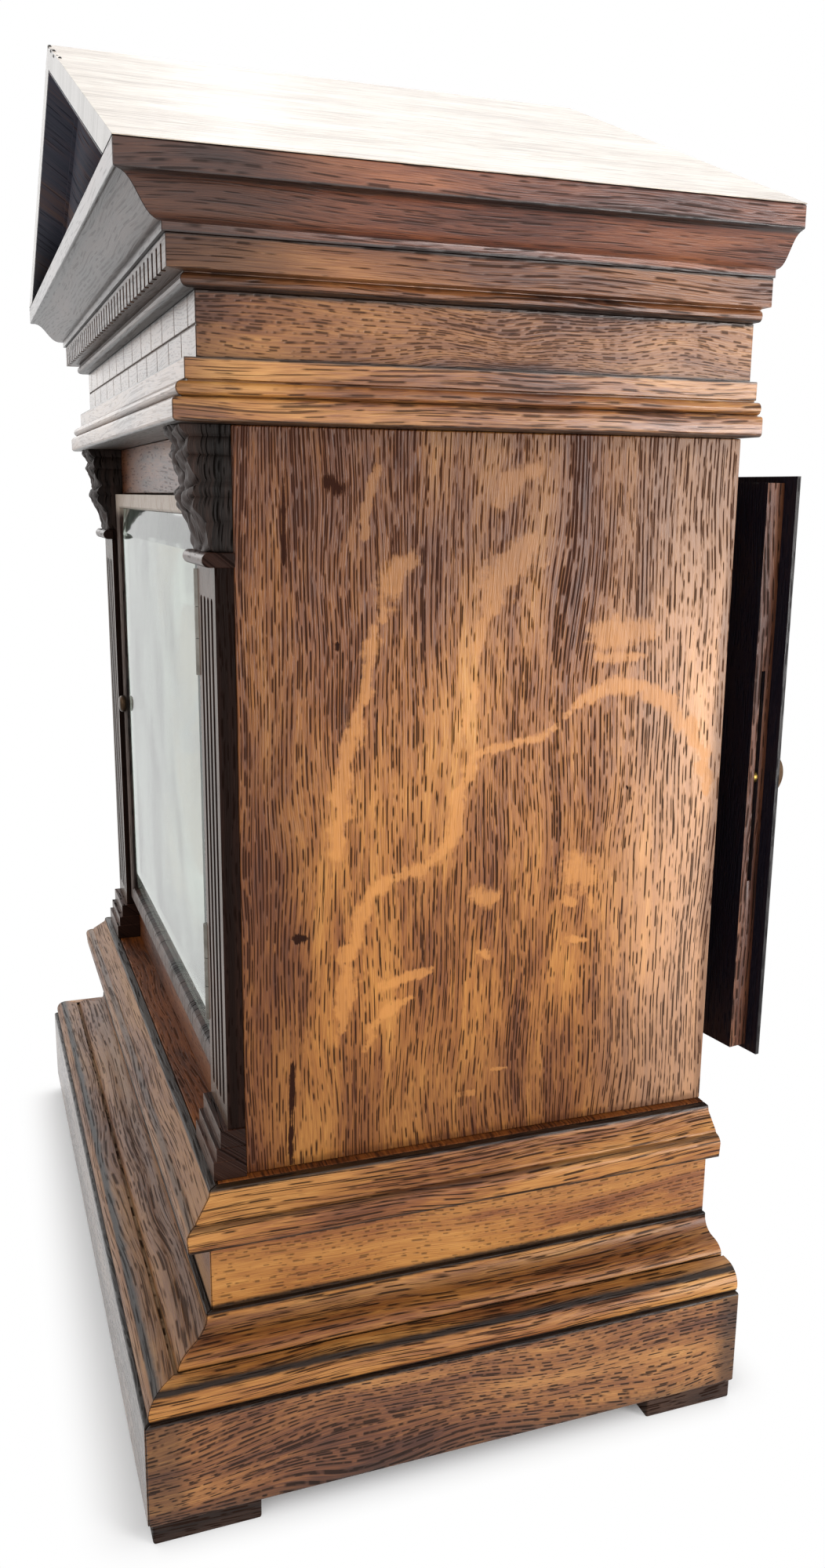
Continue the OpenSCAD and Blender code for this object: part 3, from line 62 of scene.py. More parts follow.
def addNode(tree, kind, links=None, **settings):
    # links gives each input, by number or name, a node, an output of one or a plain value
    node = tree.nodes.new(kind)
    for name, value in settings.items():
        setattr(node, name, value)
    for socket, value in (links or {}).items():
        if isinstance(value, bpy.types.Node):
            value = value.outputs[0]
        if isinstance(value, bpy.types.NodeSocket):
            tree.links.new(value, node.inputs[socket])
        else:
            node.inputs[socket].default_value = value
    return node


def addRamp(tree, factor, places, colours):
    # a colour ramp of any number of colours
    node = addNode(tree, "ShaderNodeValToRGB", {0: factor})
    ramp = node.color_ramp
    while len(ramp.elements) < len(colours):
        ramp.elements.new(0.5)
    for element, place, colour in zip(ramp.elements, places, colours):
        element.position = place
        element.color = hexColor(colour)
    return node


def startMaterial(name):
    # a new material with nothing in its node tree yet
    material = bpy.data.materials.new(name)
    material.use_nodes = True
    material.node_tree.nodes.clear()
    return material, material.node_tree


def endMaterial(tree, sockets):
    # the surface, with the inputs that sockets names
    shader = addNode(tree, "ShaderNodeBsdfPrincipled", sockets)
    addNode(tree, "ShaderNodeOutputMaterial", {0: shader})


def millimetres(tree):
    # the object's own coordinates in mm
    place = addNode(tree, "ShaderNodeTexCoord").outputs["Object"]
    return addNode(tree, "ShaderNodeVectorMath", {0: place, "Scale": 1000.0}, operation="SCALE")


# Quarter-sawn oak under old wax: golden brown, with open pores as rows of short dark dashes along the grain,
# broad ray flecks almost without pores, and black in the corners of the mouldings, partly dirt and partly
# painted shade.
# Pores are really 0.2 to 0.3 mm wide; here they are about 0.3 to 0.5 mm, as the photograph shows them.
oakDefaults = {
    "grain": "up",            # up, front (along X), side (along Y) or mitred
    "mitre": 65.0,            # mm: |x| + y at the joint of front and side lengths
    "sides": 137.0,           # mm: |x| that the side lengths stay outside
    "lean": 0.8,              # how a moulding's face leans: out as it goes down, or below 0 as it goes up
    "tones": ["#4E2A17", "#754523", "#96632F", "#AE7B41", "#C29254"],
    "tonePlaces": None,       # where the tones stand from 0 to 1, if not as below
    "tone": 0.55,             # how strongly broad patches, streaks and fibres tell in the colour
    "streak": 0.40,
    "fibre": 0.55,
    "toneSize": (17.0, 80.0),        # mm across and along the grain, here and below
    "streakSize": (3.2, 50.0),
    "fibreSize": (0.36, 11.0),
    "wave": 3.0,              # mm that the grain wanders
    "waveSize": (34.0, 90.0),
    "poreColour": "#20130D",
    "poreRows": [(1.6, 8.0), (2.5, 13.0)],    # mm between rows and along a pore, one pair for each layer
    "poreWidth": 0.52,        # mm across
    "poreShare": 0.66,        # how much of a row its pores fill
    "poreDepth": 0.92,        # how dark they are
    "inkShare": 0.10,         # longer, blacker streaks
    "inkSize": (0.9, 30.0),
    "drawn": False,           # whether the piece carries drawn flakes and knots
    "fleckColour": "#C08442",
    "frontPores": 0.35,       # how much of the pores shows where a mitred length turns to the front
    "frontTint": ("#77706A", 0.4),   # and the painted reflection of window light laid over it there, with how much
    "soil": [],               # uneven bands of dirt, of painted shade in corners and grooves, and of painted highlight: (axis, place, reach, amount)
    "soilColour": "#120B08",
    "bleach": [],             # the same, for a painted sheen of window light
    "bleachColour": "#CFA686",
    "faces": [],              # (facing, colour, amount): colour over whole faces that look one way, mostly painted shade on faces turned from the light and painted reflection on fronts
    "roughness": 0.40,
    "specular": 0.26,
    "coat": 0.08,
    "frontCoat": None,        # wax on the faces that look to the front, where it differs
    "coatRoughness": 0.2,
    "relief": 0.14,           # mm
}
# where four or five tones stand in the ramp
tonePlaces = {4: (0.26, 0.42, 0.56, 0.76), 5: (0.22, 0.38, 0.54, 0.70, 0.85)}


def grainVector(tree, look, axes, order):
    # (across, 0, along) in mm on the faces that show
    if order == "up":
        across = addNode(tree, "ShaderNodeMath", {0: axes["x"], 1: axes["y"]}, operation="ADD")
    elif order == "side":
        across = addNode(tree, "ShaderNodeMath", {0: axes["aside"], 1: -look["lean"], 2: axes["z"]},
            operation="MULTIPLY_ADD")
    else:
        across = addNode(tree, "ShaderNodeMath", {0: axes["y"]}, operation="ABSOLUTE")
        across = addNode(tree, "ShaderNodeMath", {0: across, 1: -look["lean"], 2: axes["z"]},
            operation="MULTIPLY_ADD")
    along = axes[{"up": "z", "side": "y", "front": "x"}[order]]
    return addNode(tree, "ShaderNodeCombineXYZ", {0: across, 2: along})


def mitredGrain(tree, look, axes, normal):
    # lengths across the front and back, and lengths along the sides; steep faces belong where they look to,
    # and shallow ones are parted at the mitre
    turned = addNode(tree, "ShaderNodeVectorMath", {0: normal}, operation="ABSOLUTE")
    turned = addNode(tree, "ShaderNodeVectorMath", {0: turned, 1: (-1, 1, 0)}, operation="DOT_PRODUCT")
    turned = addNode(tree, "ShaderNodeMath", {0: turned.outputs["Value"]}, operation="ROUND")
    turned = addNode(tree, "ShaderNodeMath", {0: turned, 1: 1000.0}, operation="MULTIPLY")
    total = addNode(tree, "ShaderNodeMath", {0: axes["aside"], 1: axes["y"]}, operation="ADD")
    within = addNode(tree, "ShaderNodeMath", {0: axes["aside"], 1: look["mitre"] - look["sides"]},
        operation="ADD")
    total = addNode(tree, "ShaderNodeMath", {0: total, 1: within}, operation="MINIMUM")
    total = addNode(tree, "ShaderNodeMath", {0: total, 1: turned}, operation="SUBTRACT")
    across = addNode(tree, "ShaderNodeMath", {0: total, 1: look["mitre"]}, operation="LESS_THAN")
    inFront = addNode(tree, "ShaderNodeMath", {0: axes["y"], 1: 0.0}, operation="LESS_THAN")
    front = addNode(tree, "ShaderNodeMath", {0: across, 1: inFront}, operation="MULTIPLY")
    grain = addNode(tree, "ShaderNodeMix", {0: across, 4: grainVector(tree, look, axes, "side"),
        5: grainVector(tree, look, axes, "front")}, data_type="VECTOR").outputs[1]
    return grain, front


def grainNoise(tree, grain, size, shift, detail):
    # noise with patches of the given mm across and along the grain; shift sets it apart from the others
    wide, long = size
    spot = addNode(tree, "ShaderNodeMapping", {0: grain, "Location": (shift, shift * 0.7, shift * 1.3),
        "Scale": (1 / wide, 1, 1 / long)})
    return addNode(tree, "ShaderNodeTexNoise", {"Vector": spot, "Scale": 1.0, "Detail": detail})


def poreLayer(tree, look, across, length, crowd, pitch, poreLength):
    # dashes in rows; each row is shifted, set aside and made wide by its own chance
    row = addNode(tree, "ShaderNodeMath", {0: across, 1: 1 / pitch, 2: pitch * 7.3},
        operation="MULTIPLY_ADD")
    number = addNode(tree, "ShaderNodeMath", {0: row}, operation="FLOOR")
    chance = addNode(tree, "ShaderNodeTexWhiteNoise", {"W": number}, noise_dimensions="1D")
    chances = addNode(tree, "ShaderNodeSeparateColor", {0: chance.outputs["Color"]})
    start = addNode(tree, "ShaderNodeMath", {0: chances, 1: 311.0}, operation="MULTIPLY")
    start = addNode(tree, "ShaderNodeMath", {0: length, 1: 1 / poreLength, 2: start},
        operation="MULTIPLY_ADD")
    dash = addNode(tree, "ShaderNodeTexNoise", {"W": start, "Scale": 1.0, "Detail": 1.5},
        noise_dimensions="1D")
    dash = addNode(tree, "ShaderNodeMath", {0: dash, 1: crowd}, operation="ADD")
    edge = 0.66 - look["poreShare"] * 0.32
    dash = addNode(tree, "ShaderNodeMapRange", {0: dash, 1: edge, 2: edge + 0.12})
    aim = addNode(tree, "ShaderNodeMath", {0: chances.outputs[1], 1: 0.5, 2: 0.25}, operation="MULTIPLY_ADD")
    miss = addNode(tree, "ShaderNodeMath", {0: row}, operation="FRACT")
    miss = addNode(tree, "ShaderNodeMath", {0: miss, 1: aim}, operation="SUBTRACT")
    miss = addNode(tree, "ShaderNodeMath", {0: miss}, operation="ABSOLUTE")
    half = look["poreWidth"] / 2 / pitch
    thick = addNode(tree, "ShaderNodeMath", {0: chances.outputs[2], 1: half, 2: half * 0.7},
        operation="MULTIPLY_ADD")
    miss = addNode(tree, "ShaderNodeMath", {0: miss, 1: thick}, operation="DIVIDE")
    line = addNode(tree, "ShaderNodeMapRange", {0: miss, 1: 1.3, 2: 0.5, 3: 0.0, 4: look["poreDepth"]})
    return addNode(tree, "ShaderNodeMath", {0: line, 1: dash}, operation="MULTIPLY")


def drawnPatch(tree, attribute, ragged, soft, hard):
    # how much of a drawn flake or knot shows, its edge broken by the grain
    field = addNode(tree, "ShaderNodeAttribute", attribute_name=attribute).outputs["Fac"]
    edge = addNode(tree, "ShaderNodeMath", {0: field, 1: ragged}, operation="SUBTRACT")
    return addNode(tree, "ShaderNodeMapRange", {0: edge, 1: soft, 2: hard, 3: 0.0, 4: 1.0},
        interpolation_type="SMOOTHSTEP")


def tinted(tree, amount, colour, tint):
    # the colour with so much of the tint laid over it
    mixed = addNode(tree, "ShaderNodeMix", {0: amount, 6: colour, 7: hexColor(tint)}, data_type="RGBA")
    return mixed.outputs[2]


def banded(tree, axes, stray, colour, bands, tint):
    # the colour with uneven bands of tint over it
    most = None
    for axis, at, reach, amount in bands:
        warp = addNode(tree, "ShaderNodeMath", {0: stray, 1: min(1.0, reach / 12), 2: axes[axis]},
            operation="MULTIPLY_ADD")
        gap = addNode(tree, "ShaderNodeMath", {0: warp, 1: at}, operation="SUBTRACT")
        gap = addNode(tree, "ShaderNodeMath", {0: gap}, operation="ABSOLUTE")
        band = addNode(tree, "ShaderNodeMapRange", {0: gap, 1: reach, 2: reach * 0.25, 3: 0.0, 4: amount},
            interpolation_type="SMOOTHSTEP")
        if most is None:
            most = band
        else:
            most = addNode(tree, "ShaderNodeMath", {0: most, 1: band}, operation="MAXIMUM")
    return colour if most is None else tinted(tree, most, colour, tint)


def facingShare(tree, normal, direction, away, towards):
    # one value on the faces that look in the direction, and another on the rest
    turned = addNode(tree, "ShaderNodeVectorMath", {0: normal, 1: direction}, operation="DOT_PRODUCT")
    return addNode(tree, "ShaderNodeMapRange", {0: turned.outputs["Value"], 1: 0.55, 2: 0.75, 3: away,
        4: towards})


def oakFinish(name, **changes):
    look = dict(oakDefaults, **changes)
    material, tree = startMaterial(name)
    place = millimetres(tree)
    x, y, z = addNode(tree, "ShaderNodeSeparateXYZ", {0: place}).outputs
    aside = addNode(tree, "ShaderNodeMath", {0: x}, operation="ABSOLUTE")
    axes = {"x": x, "y": y, "z": z, "aside": aside}
    normal = addNode(tree, "ShaderNodeTexCoord").outputs["Normal"]
    front = None
    if look["grain"] == "mitred":
        grain, front = mitredGrain(tree, look, axes, normal)
    else:
        grain = grainVector(tree, look, axes, look["grain"])

    # the grain wanders sideways by a few millimetres
    wander = grainNoise(tree, grain, look["waveSize"], 11.0, 1.0)
    push = addNode(tree, "ShaderNodeMath", {0: wander, 1: look["wave"] * 4, 2: -look["wave"] * 2},
        operation="MULTIPLY_ADD")
    push = addNode(tree, "ShaderNodeCombineXYZ", {0: push})
    grain = addNode(tree, "ShaderNodeVectorMath", {0: grain, 1: push}, operation="ADD")

    # patches, streaks and fibres make one number, centred on 0.5, that picks the tone
    tone = grainNoise(tree, grain, look["toneSize"], 1.0, 3.0)
    streak = grainNoise(tree, grain, look["streakSize"], 7.0, 3.0)
    fibre = grainNoise(tree, grain, look["fibreSize"], 3.0, 2.0)
    lowest = 0.5 - (look["tone"] * 1.6 + look["streak"] + look["fibre"]) / 2
    level = addNode(tree, "ShaderNodeMath", {0: tone, 1: look["tone"] * 1.6, 2: lowest},
        operation="MULTIPLY_ADD")
    level = addNode(tree, "ShaderNodeMath", {0: streak, 1: look["streak"], 2: level},
        operation="MULTIPLY_ADD")
    level = addNode(tree, "ShaderNodeMath", {0: fibre, 1: look["fibre"], 2: level}, operation="MULTIPLY_ADD")
    colour = addRamp(tree, level, look["tonePlaces"] or tonePlaces[len(look["tones"])], look["tones"])

    # pores, fewer where the wood is light, and the longer black streaks
    across, _, length = addNode(tree, "ShaderNodeSeparateXYZ", {0: grain}).outputs
    crowd = addNode(tree, "ShaderNodeMath", {0: tone, 1: -0.5, 2: 0.25}, operation="MULTIPLY_ADD")
    pores = None
    for pitch, poreLength in look["poreRows"]:
        layer = poreLayer(tree, look, across, length, crowd, pitch, poreLength)
        if pores is None:
            pores = layer
        else:
            pores = addNode(tree, "ShaderNodeMath", {0: pores, 1: layer}, operation="MAXIMUM")
    if look["inkShare"]:
        ink = grainNoise(tree, grain, look["inkSize"], 9.0, 2.0)
        start = 0.72 - look["inkShare"] * 0.4
        ink = addNode(tree, "ShaderNodeMapRange", {0: ink, 1: start, 2: start + 0.07, 3: 0.0,
            4: look["poreDepth"] * 0.9}, interpolation_type="SMOOTHSTEP")
        pores = addNode(tree, "ShaderNodeMath", {0: pores, 1: ink}, operation="MAXIMUM")

    # what makes the edges of flakes and bands uneven
    rough = addNode(tree, "ShaderNodeTexNoise", {"Vector": place, "Scale": 0.13, "Detail": 4.0,
        "Roughness": 0.65})
    ragged = addNode(tree, "ShaderNodeMath", {0: rough, 1: 2.4, 2: -2.35}, operation="MULTIPLY_ADD")
    ragged = addNode(tree, "ShaderNodeMath", {0: streak, 1: 1.6, 2: ragged}, operation="MULTIPLY_ADD")
    ragged = addNode(tree, "ShaderNodeMath", {0: fibre, 1: 1.8, 2: ragged}, operation="MULTIPLY_ADD")
    stray = addNode(tree, "ShaderNodeMath", {0: rough, 1: 6.0, 2: -3.0}, operation="MULTIPLY_ADD")

    # a painted sheen of window light, laid under the pores
    colour = banded(tree, axes, stray, colour, look["bleach"], look["bleachColour"])
    if look["drawn"]:
        fleck = drawnPatch(tree, "flake", ragged, 0.4, 1.0)
        dim = addNode(tree, "ShaderNodeMath", {0: tone, 1: 0.5, 2: 0.42}, operation="MULTIPLY_ADD")
        dim = addNode(tree, "ShaderNodeMath", {0: fleck, 1: dim}, operation="MULTIPLY")
        colour = tinted(tree, dim, colour, look["fleckColour"])
        clear = addNode(tree, "ShaderNodeMath", {0: fleck, 1: -0.85, 2: 1.0}, operation="MULTIPLY_ADD")
        pores = addNode(tree, "ShaderNodeMath", {0: pores, 1: clear}, operation="MULTIPLY")
        black = drawnPatch(tree, "knot", ragged, 0.6, 1.1)
        pores = addNode(tree, "ShaderNodeMath", {0: pores, 1: black}, operation="MAXIMUM")
    if front:
        shown = addNode(tree, "ShaderNodeMath", {0: front, 1: look["frontPores"] - 1, 2: 1.0},
            operation="MULTIPLY_ADD")
        pores = addNode(tree, "ShaderNodeMath", {0: pores, 1: shown}, operation="MULTIPLY")
        # the fronts of mitred lengths take a painted reflection of window light
        tint, amount = look["frontTint"]
        amount = addNode(tree, "ShaderNodeMath", {0: front, 1: amount}, operation="MULTIPLY")
        colour = tinted(tree, amount, colour, tint)
    colour = tinted(tree, pores, colour, look["poreColour"])
    # dirt and painted shade in corners and grooves, and a painted highlight where a band is pale
    colour = banded(tree, axes, stray, colour, look["soil"], look["soilColour"])
    # whole faces tinted by the way they face: painted shade and painted reflection
    for direction, tint, amount in look["faces"]:
        colour = tinted(tree, facingShare(tree, normal, direction, 0.0, amount), colour, tint)

    # open pores are hollow and hold dirt, so they are dull and don't shine
    height = addNode(tree, "ShaderNodeMath", {0: pores, 1: -1.0, 2: fibre}, operation="MULTIPLY_ADD")
    bump = addNode(tree, "ShaderNodeBump", {"Height": height, "Strength": 1.0,
        "Distance": look["relief"] * mm})
    dull = addNode(tree, "ShaderNodeMath", {0: pores, 1: 0.3, 2: look["roughness"]},
        operation="MULTIPLY_ADD")
    shine = addNode(tree, "ShaderNodeMath", {0: pores, 1: -0.85 * look["specular"], 2: look["specular"]},
        operation="MULTIPLY_ADD")
    wax = look["coat"]
    if look["frontCoat"] is not None:
        wax = facingShare(tree, normal, (0, -1, 0), look["coat"], look["frontCoat"])
    endMaterial(tree, {"Base Color": colour, "Roughness": dull, "Specular IOR Level": shine, "Normal": bump,
        "Coat Weight": wax, "Coat Roughness": look["coatRoughness"]})
    return material


darkTones = ["#120A08", "#22130E", "#361F17", "#4E3327"]
deepTones = ["#3C1E12", "#5E361E", "#7E502A", "#986838", "#AE7F49"]

finishes = {
    # quartered panel: grain upright, darker and redder towards its edges, with a painted sheen of window
    # light at the back
    "sideOak": oakFinish("quarteredOakPanel", drawn=True, soilColour="#33170C", coat=0.0, roughness=0.36,
        fleckColour="#B2773A", poreShare=0.7, poreWidth=0.4, poreRows=[(1.5, 8.5), (2.4, 15.0)],
        poreColour="#1B0F0A", bleach=[("y", 112, 60, 0.46)],
        tones=["#41200C", "#683917", "#895422", "#A46D30", "#B98545"],
        soil=[("z", 344, 90, 0.5), ("z", 344, 12, 0.6), ("y", -66, 36, 0.4), ("y", 106.5, 6, 0.6),
            ("z", 105, 60, 0.28), ("z", 105, 5, 0.6)]),
    # lengths of moulding, planed along the grain and mitred at the corners; black in the grooves as dirt and
    # painted shade, their fronts toned brown-grey as a painted reflection
    "baseOak": oakFinish("waxedOakMoulding", grain="mitred", inkShare=0.34, inkSize=(0.6, 30.0),
        poreRows=[(1.8, 14.0), (3.1, 24.0)], poreShare=0.5, frontTint=("#5A4233", 0.5), frontPores=0.85,
        soil=[("z", 44, 1.2, 0.97), ("z", 51.4, 1.2, 0.97), ("z", 62.4, 1.6, 0.97), ("z", 88.6, 1.5, 0.95),
            ("z", 105, 1.5, 0.95), ("z", 58, 3.0, 0.3), ("z", 96.5, 0.9, 0.6)]),
    # plinth: wilder grain, darker at the floor and at its ends, black in its groove as dirt and painted
    # shade, its front greyed as a painted reflection
    "plinthOak": oakFinish("waxedOakPlinth", grain="mitred", poreRows=[(1.5, 5.0), (2.3, 8.0)], wave=6.0,
        tone=0.7, tones=deepTones, frontTint=("#7F7166", 0.5), frontPores=0.8, coat=0.2, frontCoat=0.7,
        soil=[("z", 44, 1.4, 0.96), ("z", 4, 11, 0.6), ("y", 106, 12, 0.7), ("y", -102, 12, 0.5)]),
    # plain band between the mouldings: short fine pores, golden, black at its edges as dirt and painted
    # shade, its front greyed as a painted reflection
    "dieOak": oakFinish("waxedOakDie", grain="mitred", poreRows=[(1.6, 4.0), (2.7, 6.0)], poreShare=0.45,
        poreDepth=0.6, inkShare=0.0, soil=[("z", 62.4, 2.2, 0.92), ("z", 88.6, 2.0, 0.92)],
        tones=["#5A3018", "#7A4824", "#96632F", "#AA763C", "#B98649"]),
    # mouldings under the roof: glossier, their fronts greyed by a painted reflection of window light, black
    # in the grooves as dirt and painted shade
    "topOak": oakFinish("waxedOakEntablature", grain="mitred", lean=-0.8, inkShare=0.28, inkSize=(0.6, 30.0),
        poreRows=[(1.8, 12.0), (3.1, 22.0)], poreShare=0.5, poreDepth=0.8, frontTint=("#8F8983", 0.5),
        coat=0.2, frontCoat=0.38, specular=0.5,
        soil=[("z", 344, 1.0, 0.85), ("z", 361.6, 1.0, 0.9), ("z", 380, 1.0, 0.9), ("y", -88, 30, 0.3)]),
    "dentilOak": oakFinish("waxedOakDentils", grain="mitred", lean=-0.8, inkShare=0.28, inkSize=(0.6, 30.0),
        poreRows=[(1.8, 12.0), (3.1, 22.0)], poreShare=0.5, poreDepth=0.8, frontTint=("#7D7671", 0.5),
        coat=0.12, specular=0.45,
        tones=["#351A10", "#542E1A", "#714423", "#885831", "#9C6E42"],
        soil=[("z", 380, 1.3, 0.9), ("z", 392.6, 1.1, 0.9), ("y", -88, 60, 0.6)]),
    # frieze: close, fine figure, its front greyed by a painted reflection of window light
    "friezeOak": oakFinish("waxedOakFrieze", grain="mitred", lean=-0.8, inkShare=0.0, wave=4.5,
        waveSize=(26.0, 60.0), poreRows=[(1.0, 4.5), (1.7, 7.5)], poreWidth=0.3, poreShare=0.62,
        poreDepth=0.75, tones=deepTones, frontTint=("#8F8983", 0.5), coat=0.18, frontCoat=0.4, specular=0.4,
        soil=[("z", 361.6, 1.1, 0.9), ("z", 380, 1.8, 0.9), ("y", -88, 34, 0.4)]),
    # cornice: redder and darker, as painted shade under the roof's edge, its front greyed by a painted
    # reflection
    "corniceOak": oakFinish("darkWaxedOakCornice", grain="mitred", lean=-0.8, inkShare=0.26,
        inkSize=(0.8, 30.0), poreRows=[(1.8, 12.0), (3.1, 22.0)], poreShare=0.5, poreDepth=0.75,
        frontTint=("#6C6059", 0.4), coat=0.28, frontCoat=0.24, specular=0.5, soilColour="#120A08",
        tones=["#2C130D", "#4C2518", "#6B3B24", "#8A5435"], tonePlaces=(0.22, 0.4, 0.56, 0.78),
        soil=[("z", 392.6, 1.2, 0.9), ("z", 404.4, 1.2, 0.9), ("y", -90, 70, 0.7)]),
    # roof boards: pale grey, partly sun-bleached and partly a painted highlight of the sky's glare, with a
    # waxy shine; painted shade beneath, darker at both ends
    "roofOak": oakFinish("waxedOakRoof", grain="side", coat=0.38, coatRoughness=0.3, specular=0.5,
        poreRows=[(2.2, 16.0), (3.7, 26.0)], poreWidth=0.35, poreDepth=0.5, poreColour="#6A5442",
        inkShare=0.0,
        fibre=0.9, streak=0.5, tone=0.3,
        tones=["#857464", "#A19180", "#BAAC9B", "#CFC4B5"],
        faces=[((0, 0, -1), "#101016", 0.95), ((0, -1, 0), "#6B6764", 0.85), ((0, 1, 0), "#5B4230", 0.9)]),
    # ledge at the foot of the door: dull red-brown
    "platformOak": oakFinish("waxedOakPlatform", grain="front", poreDepth=0.6, coat=0.0, specular=0.15,
        roughness=0.5, tones=["#2E150A", "#4B260F", "#683716", "#854D20"]),
    # rails and stiles of front and back: polished brown
    "frameOak": oakFinish("oakFrame", grain="front", coat=0.3, poreDepth=0.5, poreShare=0.4,
        tones=["#2C150C", "#472614", "#623820", "#7D502E"]),
    # the back door's board, its inside painted blue-black as shade
    "doorOak": oakFinish("oakDoorLinedBlack", grain="up", faces=[((0.156, -0.988, 0), "#131420", 0.93)],
        tones=["#2A150D", "#442417", "#5E3824", "#7A5136"]),
    # the back door's thin outer board, black on its edges and top, its inside painted blue-black as shade
    "sheetOak": oakFinish("darkStainedOakBackDoor", grain="up", poreDepth=0.7,
        tones=["#23120B", "#3B2114", "#533220", "#6C4830"],
        faces=[((0.988, 0.156, 0), "#0D0C0E", 0.95), ((-0.988, -0.156, 0), "#0D0C0E", 0.95),
            ((0.156, -0.988, 0), "#131420", 0.95), ((0, 0, 1), "#0D0C0E", 0.95)]),
    # pilasters, caps, their feet and the front door: the same oak stained almost to walnut, waxed in front;
    # fronts lightened as a painted reflection and sides darkened as painted shade
    "pilasterOak": oakFinish("darkStainedOakFluted", grain="up", tones=darkTones, poreColour="#0E0807",
        poreShare=0.4, soil=[("y", -69.6, 2.1, 0.85)], soilColour="#0B0706", roughness=0.5, specular=0.03,
        coat=0.0, frontCoat=0.56,
        faces=[((0, -1, 0), "#75614F", 0.3), ((1, 0, 0), "#140B08", 0.8), ((-1, 0, 0), "#140B08", 0.8)]),
    "darkOakAcross": oakFinish("darkStainedOakAcross", grain="front", tones=darkTones, poreColour="#0E0807",
        poreShare=0.4, specular=0.06, coat=0.0, frontCoat=0.4,
        faces=[((0, -1, 0), "#6A584C", 0.3), ((1, 0, 0), "#160D0A", 0.7), ((-1, 0, 0), "#160D0A", 0.7)]),
    # the door's top rail has a painted highlight where the light falls, and its front is lightened as a
    # painted reflection
    "doorFrameOak": oakFinish("darkStainedOakDoor", grain="up", tones=darkTones, poreColour="#0E0807",
        poreShare=0.4, soil=[("z", 321, 8.0, 0.8)], soilColour="#B7A899",
        faces=[((0, -1, 0), "#7A6A60", 0.3)]),
    # inside the gable: the same stain, painted blue-black as the shade of the recess, darkest at its foot
    "recessOak": oakFinish("blueBlackStainedOak", grain="up", coat=0.0, specular=0.3, roughness=0.55,
        poreShare=0.35, poreColour="#14141C", poreDepth=0.6, inkShare=0.0, toneSize=(26.0, 120.0),
        tones=["#2A2D38", "#3A3B48", "#523F3E", "#6B5240"], tonePlaces=(0.3, 0.5, 0.62, 0.76),
        soil=[("z", 412, 26, 0.75)], soilColour="#141319"),
    # carving: black and dry, with little wax left in its hollows; its fronts lightened as a painted
    # reflection
    "carvedOak": oakFinish("carvedBlackenedOak", grain="up", coat=0.0, specular=0.12, roughness=0.55,
        poreShare=0.3, poreColour="#060403", faces=[((0, -1, 0), "#6A6260", 0.25)],
        tones=["#0B0705", "#17100D", "#271B16", "#3D2C27"]),
    # feet: dark and dull
    "footOak": oakFinish("footOak", grain="side", coat=0.0, specular=0.2, roughness=0.6,
        tones=["#120A07", "#20130D", "#322017", "#473124"]),
    # inner boards as they came from the plane: pale and matt
    "rawOak": oakFinish("unwaxedOak", grain="front", coat=0.0, roughness=0.65,
        tones=["#4C3420", "#6B4C30", "#876545", "#A07E5B"]),
}


def twoToned(tree, colours, share, sheen, height, relief, **sockets):
    # a surface that passes from the first colour to the second by share, with relief in mm
    first, second = (hexColor(colour) for colour in colours)
    tint = addNode(tree, "ShaderNodeMix", {0: share, 6: first, 7: second}, data_type="RGBA")
    bump = addNode(tree, "ShaderNodeBump", {"Height": height, "Distance": relief * mm, "Strength": 1.0})
    endMaterial(tree, {"Base Color": tint.outputs[2], "Roughness": sheen, "Normal": bump, **sockets})


def metalFinish(name, colours, roughness, brush=(1.0, 1.0, 1.0), stain=0.5, relief=0.01):
    # brush is the length in mm of the fine marks along x, y and z; the stains are about 11 mm wide
    material, tree = startMaterial(name)
    place = millimetres(tree)
    fine = addNode(tree, "ShaderNodeMapping", {0: place, "Scale": tuple(1 / length for length in brush)})
    marks = addNode(tree, "ShaderNodeTexNoise", {"Vector": fine, "Scale": 1.6, "Detail": 3.0})
    clouds = addNode(tree, "ShaderNodeTexNoise", {"Vector": place, "Scale": 0.09, "Detail": 5.0,
        "Roughness": 0.6})
    share = addNode(tree, "ShaderNodeMapRange", {0: clouds, 1: 0.38, 2: 0.68, 3: 0.0, 4: stain})
    sheen = addNode(tree, "ShaderNodeMapRange", {0: marks, 1: 0.3, 2: 0.7, 3: roughness * 0.75,
        4: roughness * 1.25})
    twoToned(tree, colours, share, sheen, marks, relief, Metallic=1.0)
    return material


finishes.update({
    # lacquered plate brass, brushed in one direction, browned with age
    "brass": metalFinish("agedBrass", ("#C9A353", "#8A6A34"), 0.3, brush=(14.0, 14.0, 0.5)),
    # wheels, pillars and barrel, turned and polished: brighter
    "turnedBrass": metalFinish("turnedBrass", ("#CFAA58", "#967338"), 0.24),
    # gilt castings: yellower and brighter than brass
    "gilt": metalFinish("fireGiltBrass", ("#E2BC64", "#AD8338"), 0.34, stain=0.6),
    # ground of the dial, matted with a punch, so that the castings stand out
    "matted": metalFinish("mattedBrass", ("#A98745", "#6C5227"), 0.6, relief=0.05),
    # silvered ring: a dry white-grey wash of silver
    "silvered": metalFinish("silveredBrass", ("#D9D8D0", "#B9B4A2"), 0.42, stain=0.4),
    # knob and thumb turn: brown-black patina, rubbed where it is held
    "bronze": metalFinish("darkBronze", ("#4A3A2C", "#251B14"), 0.4, stain=0.7),
    # hinge leaves: steel gone dull and spotted
    "plated": metalFinish("dulledSteel", ("#85817A", "#4B463F"), 0.45, stain=0.7),
    # screws, pallets and pendulum rod: bright, drawn in one direction
    "steel": metalFinish("polishedSteel", ("#B4B6B8", "#8E8E8C"), 0.22, brush=(8.0, 0.5, 8.0)),
    # steel blued by heat
    "blued": metalFinish("bluedSteel", ("#1B2C6B", "#101B3C"), 0.22),
})


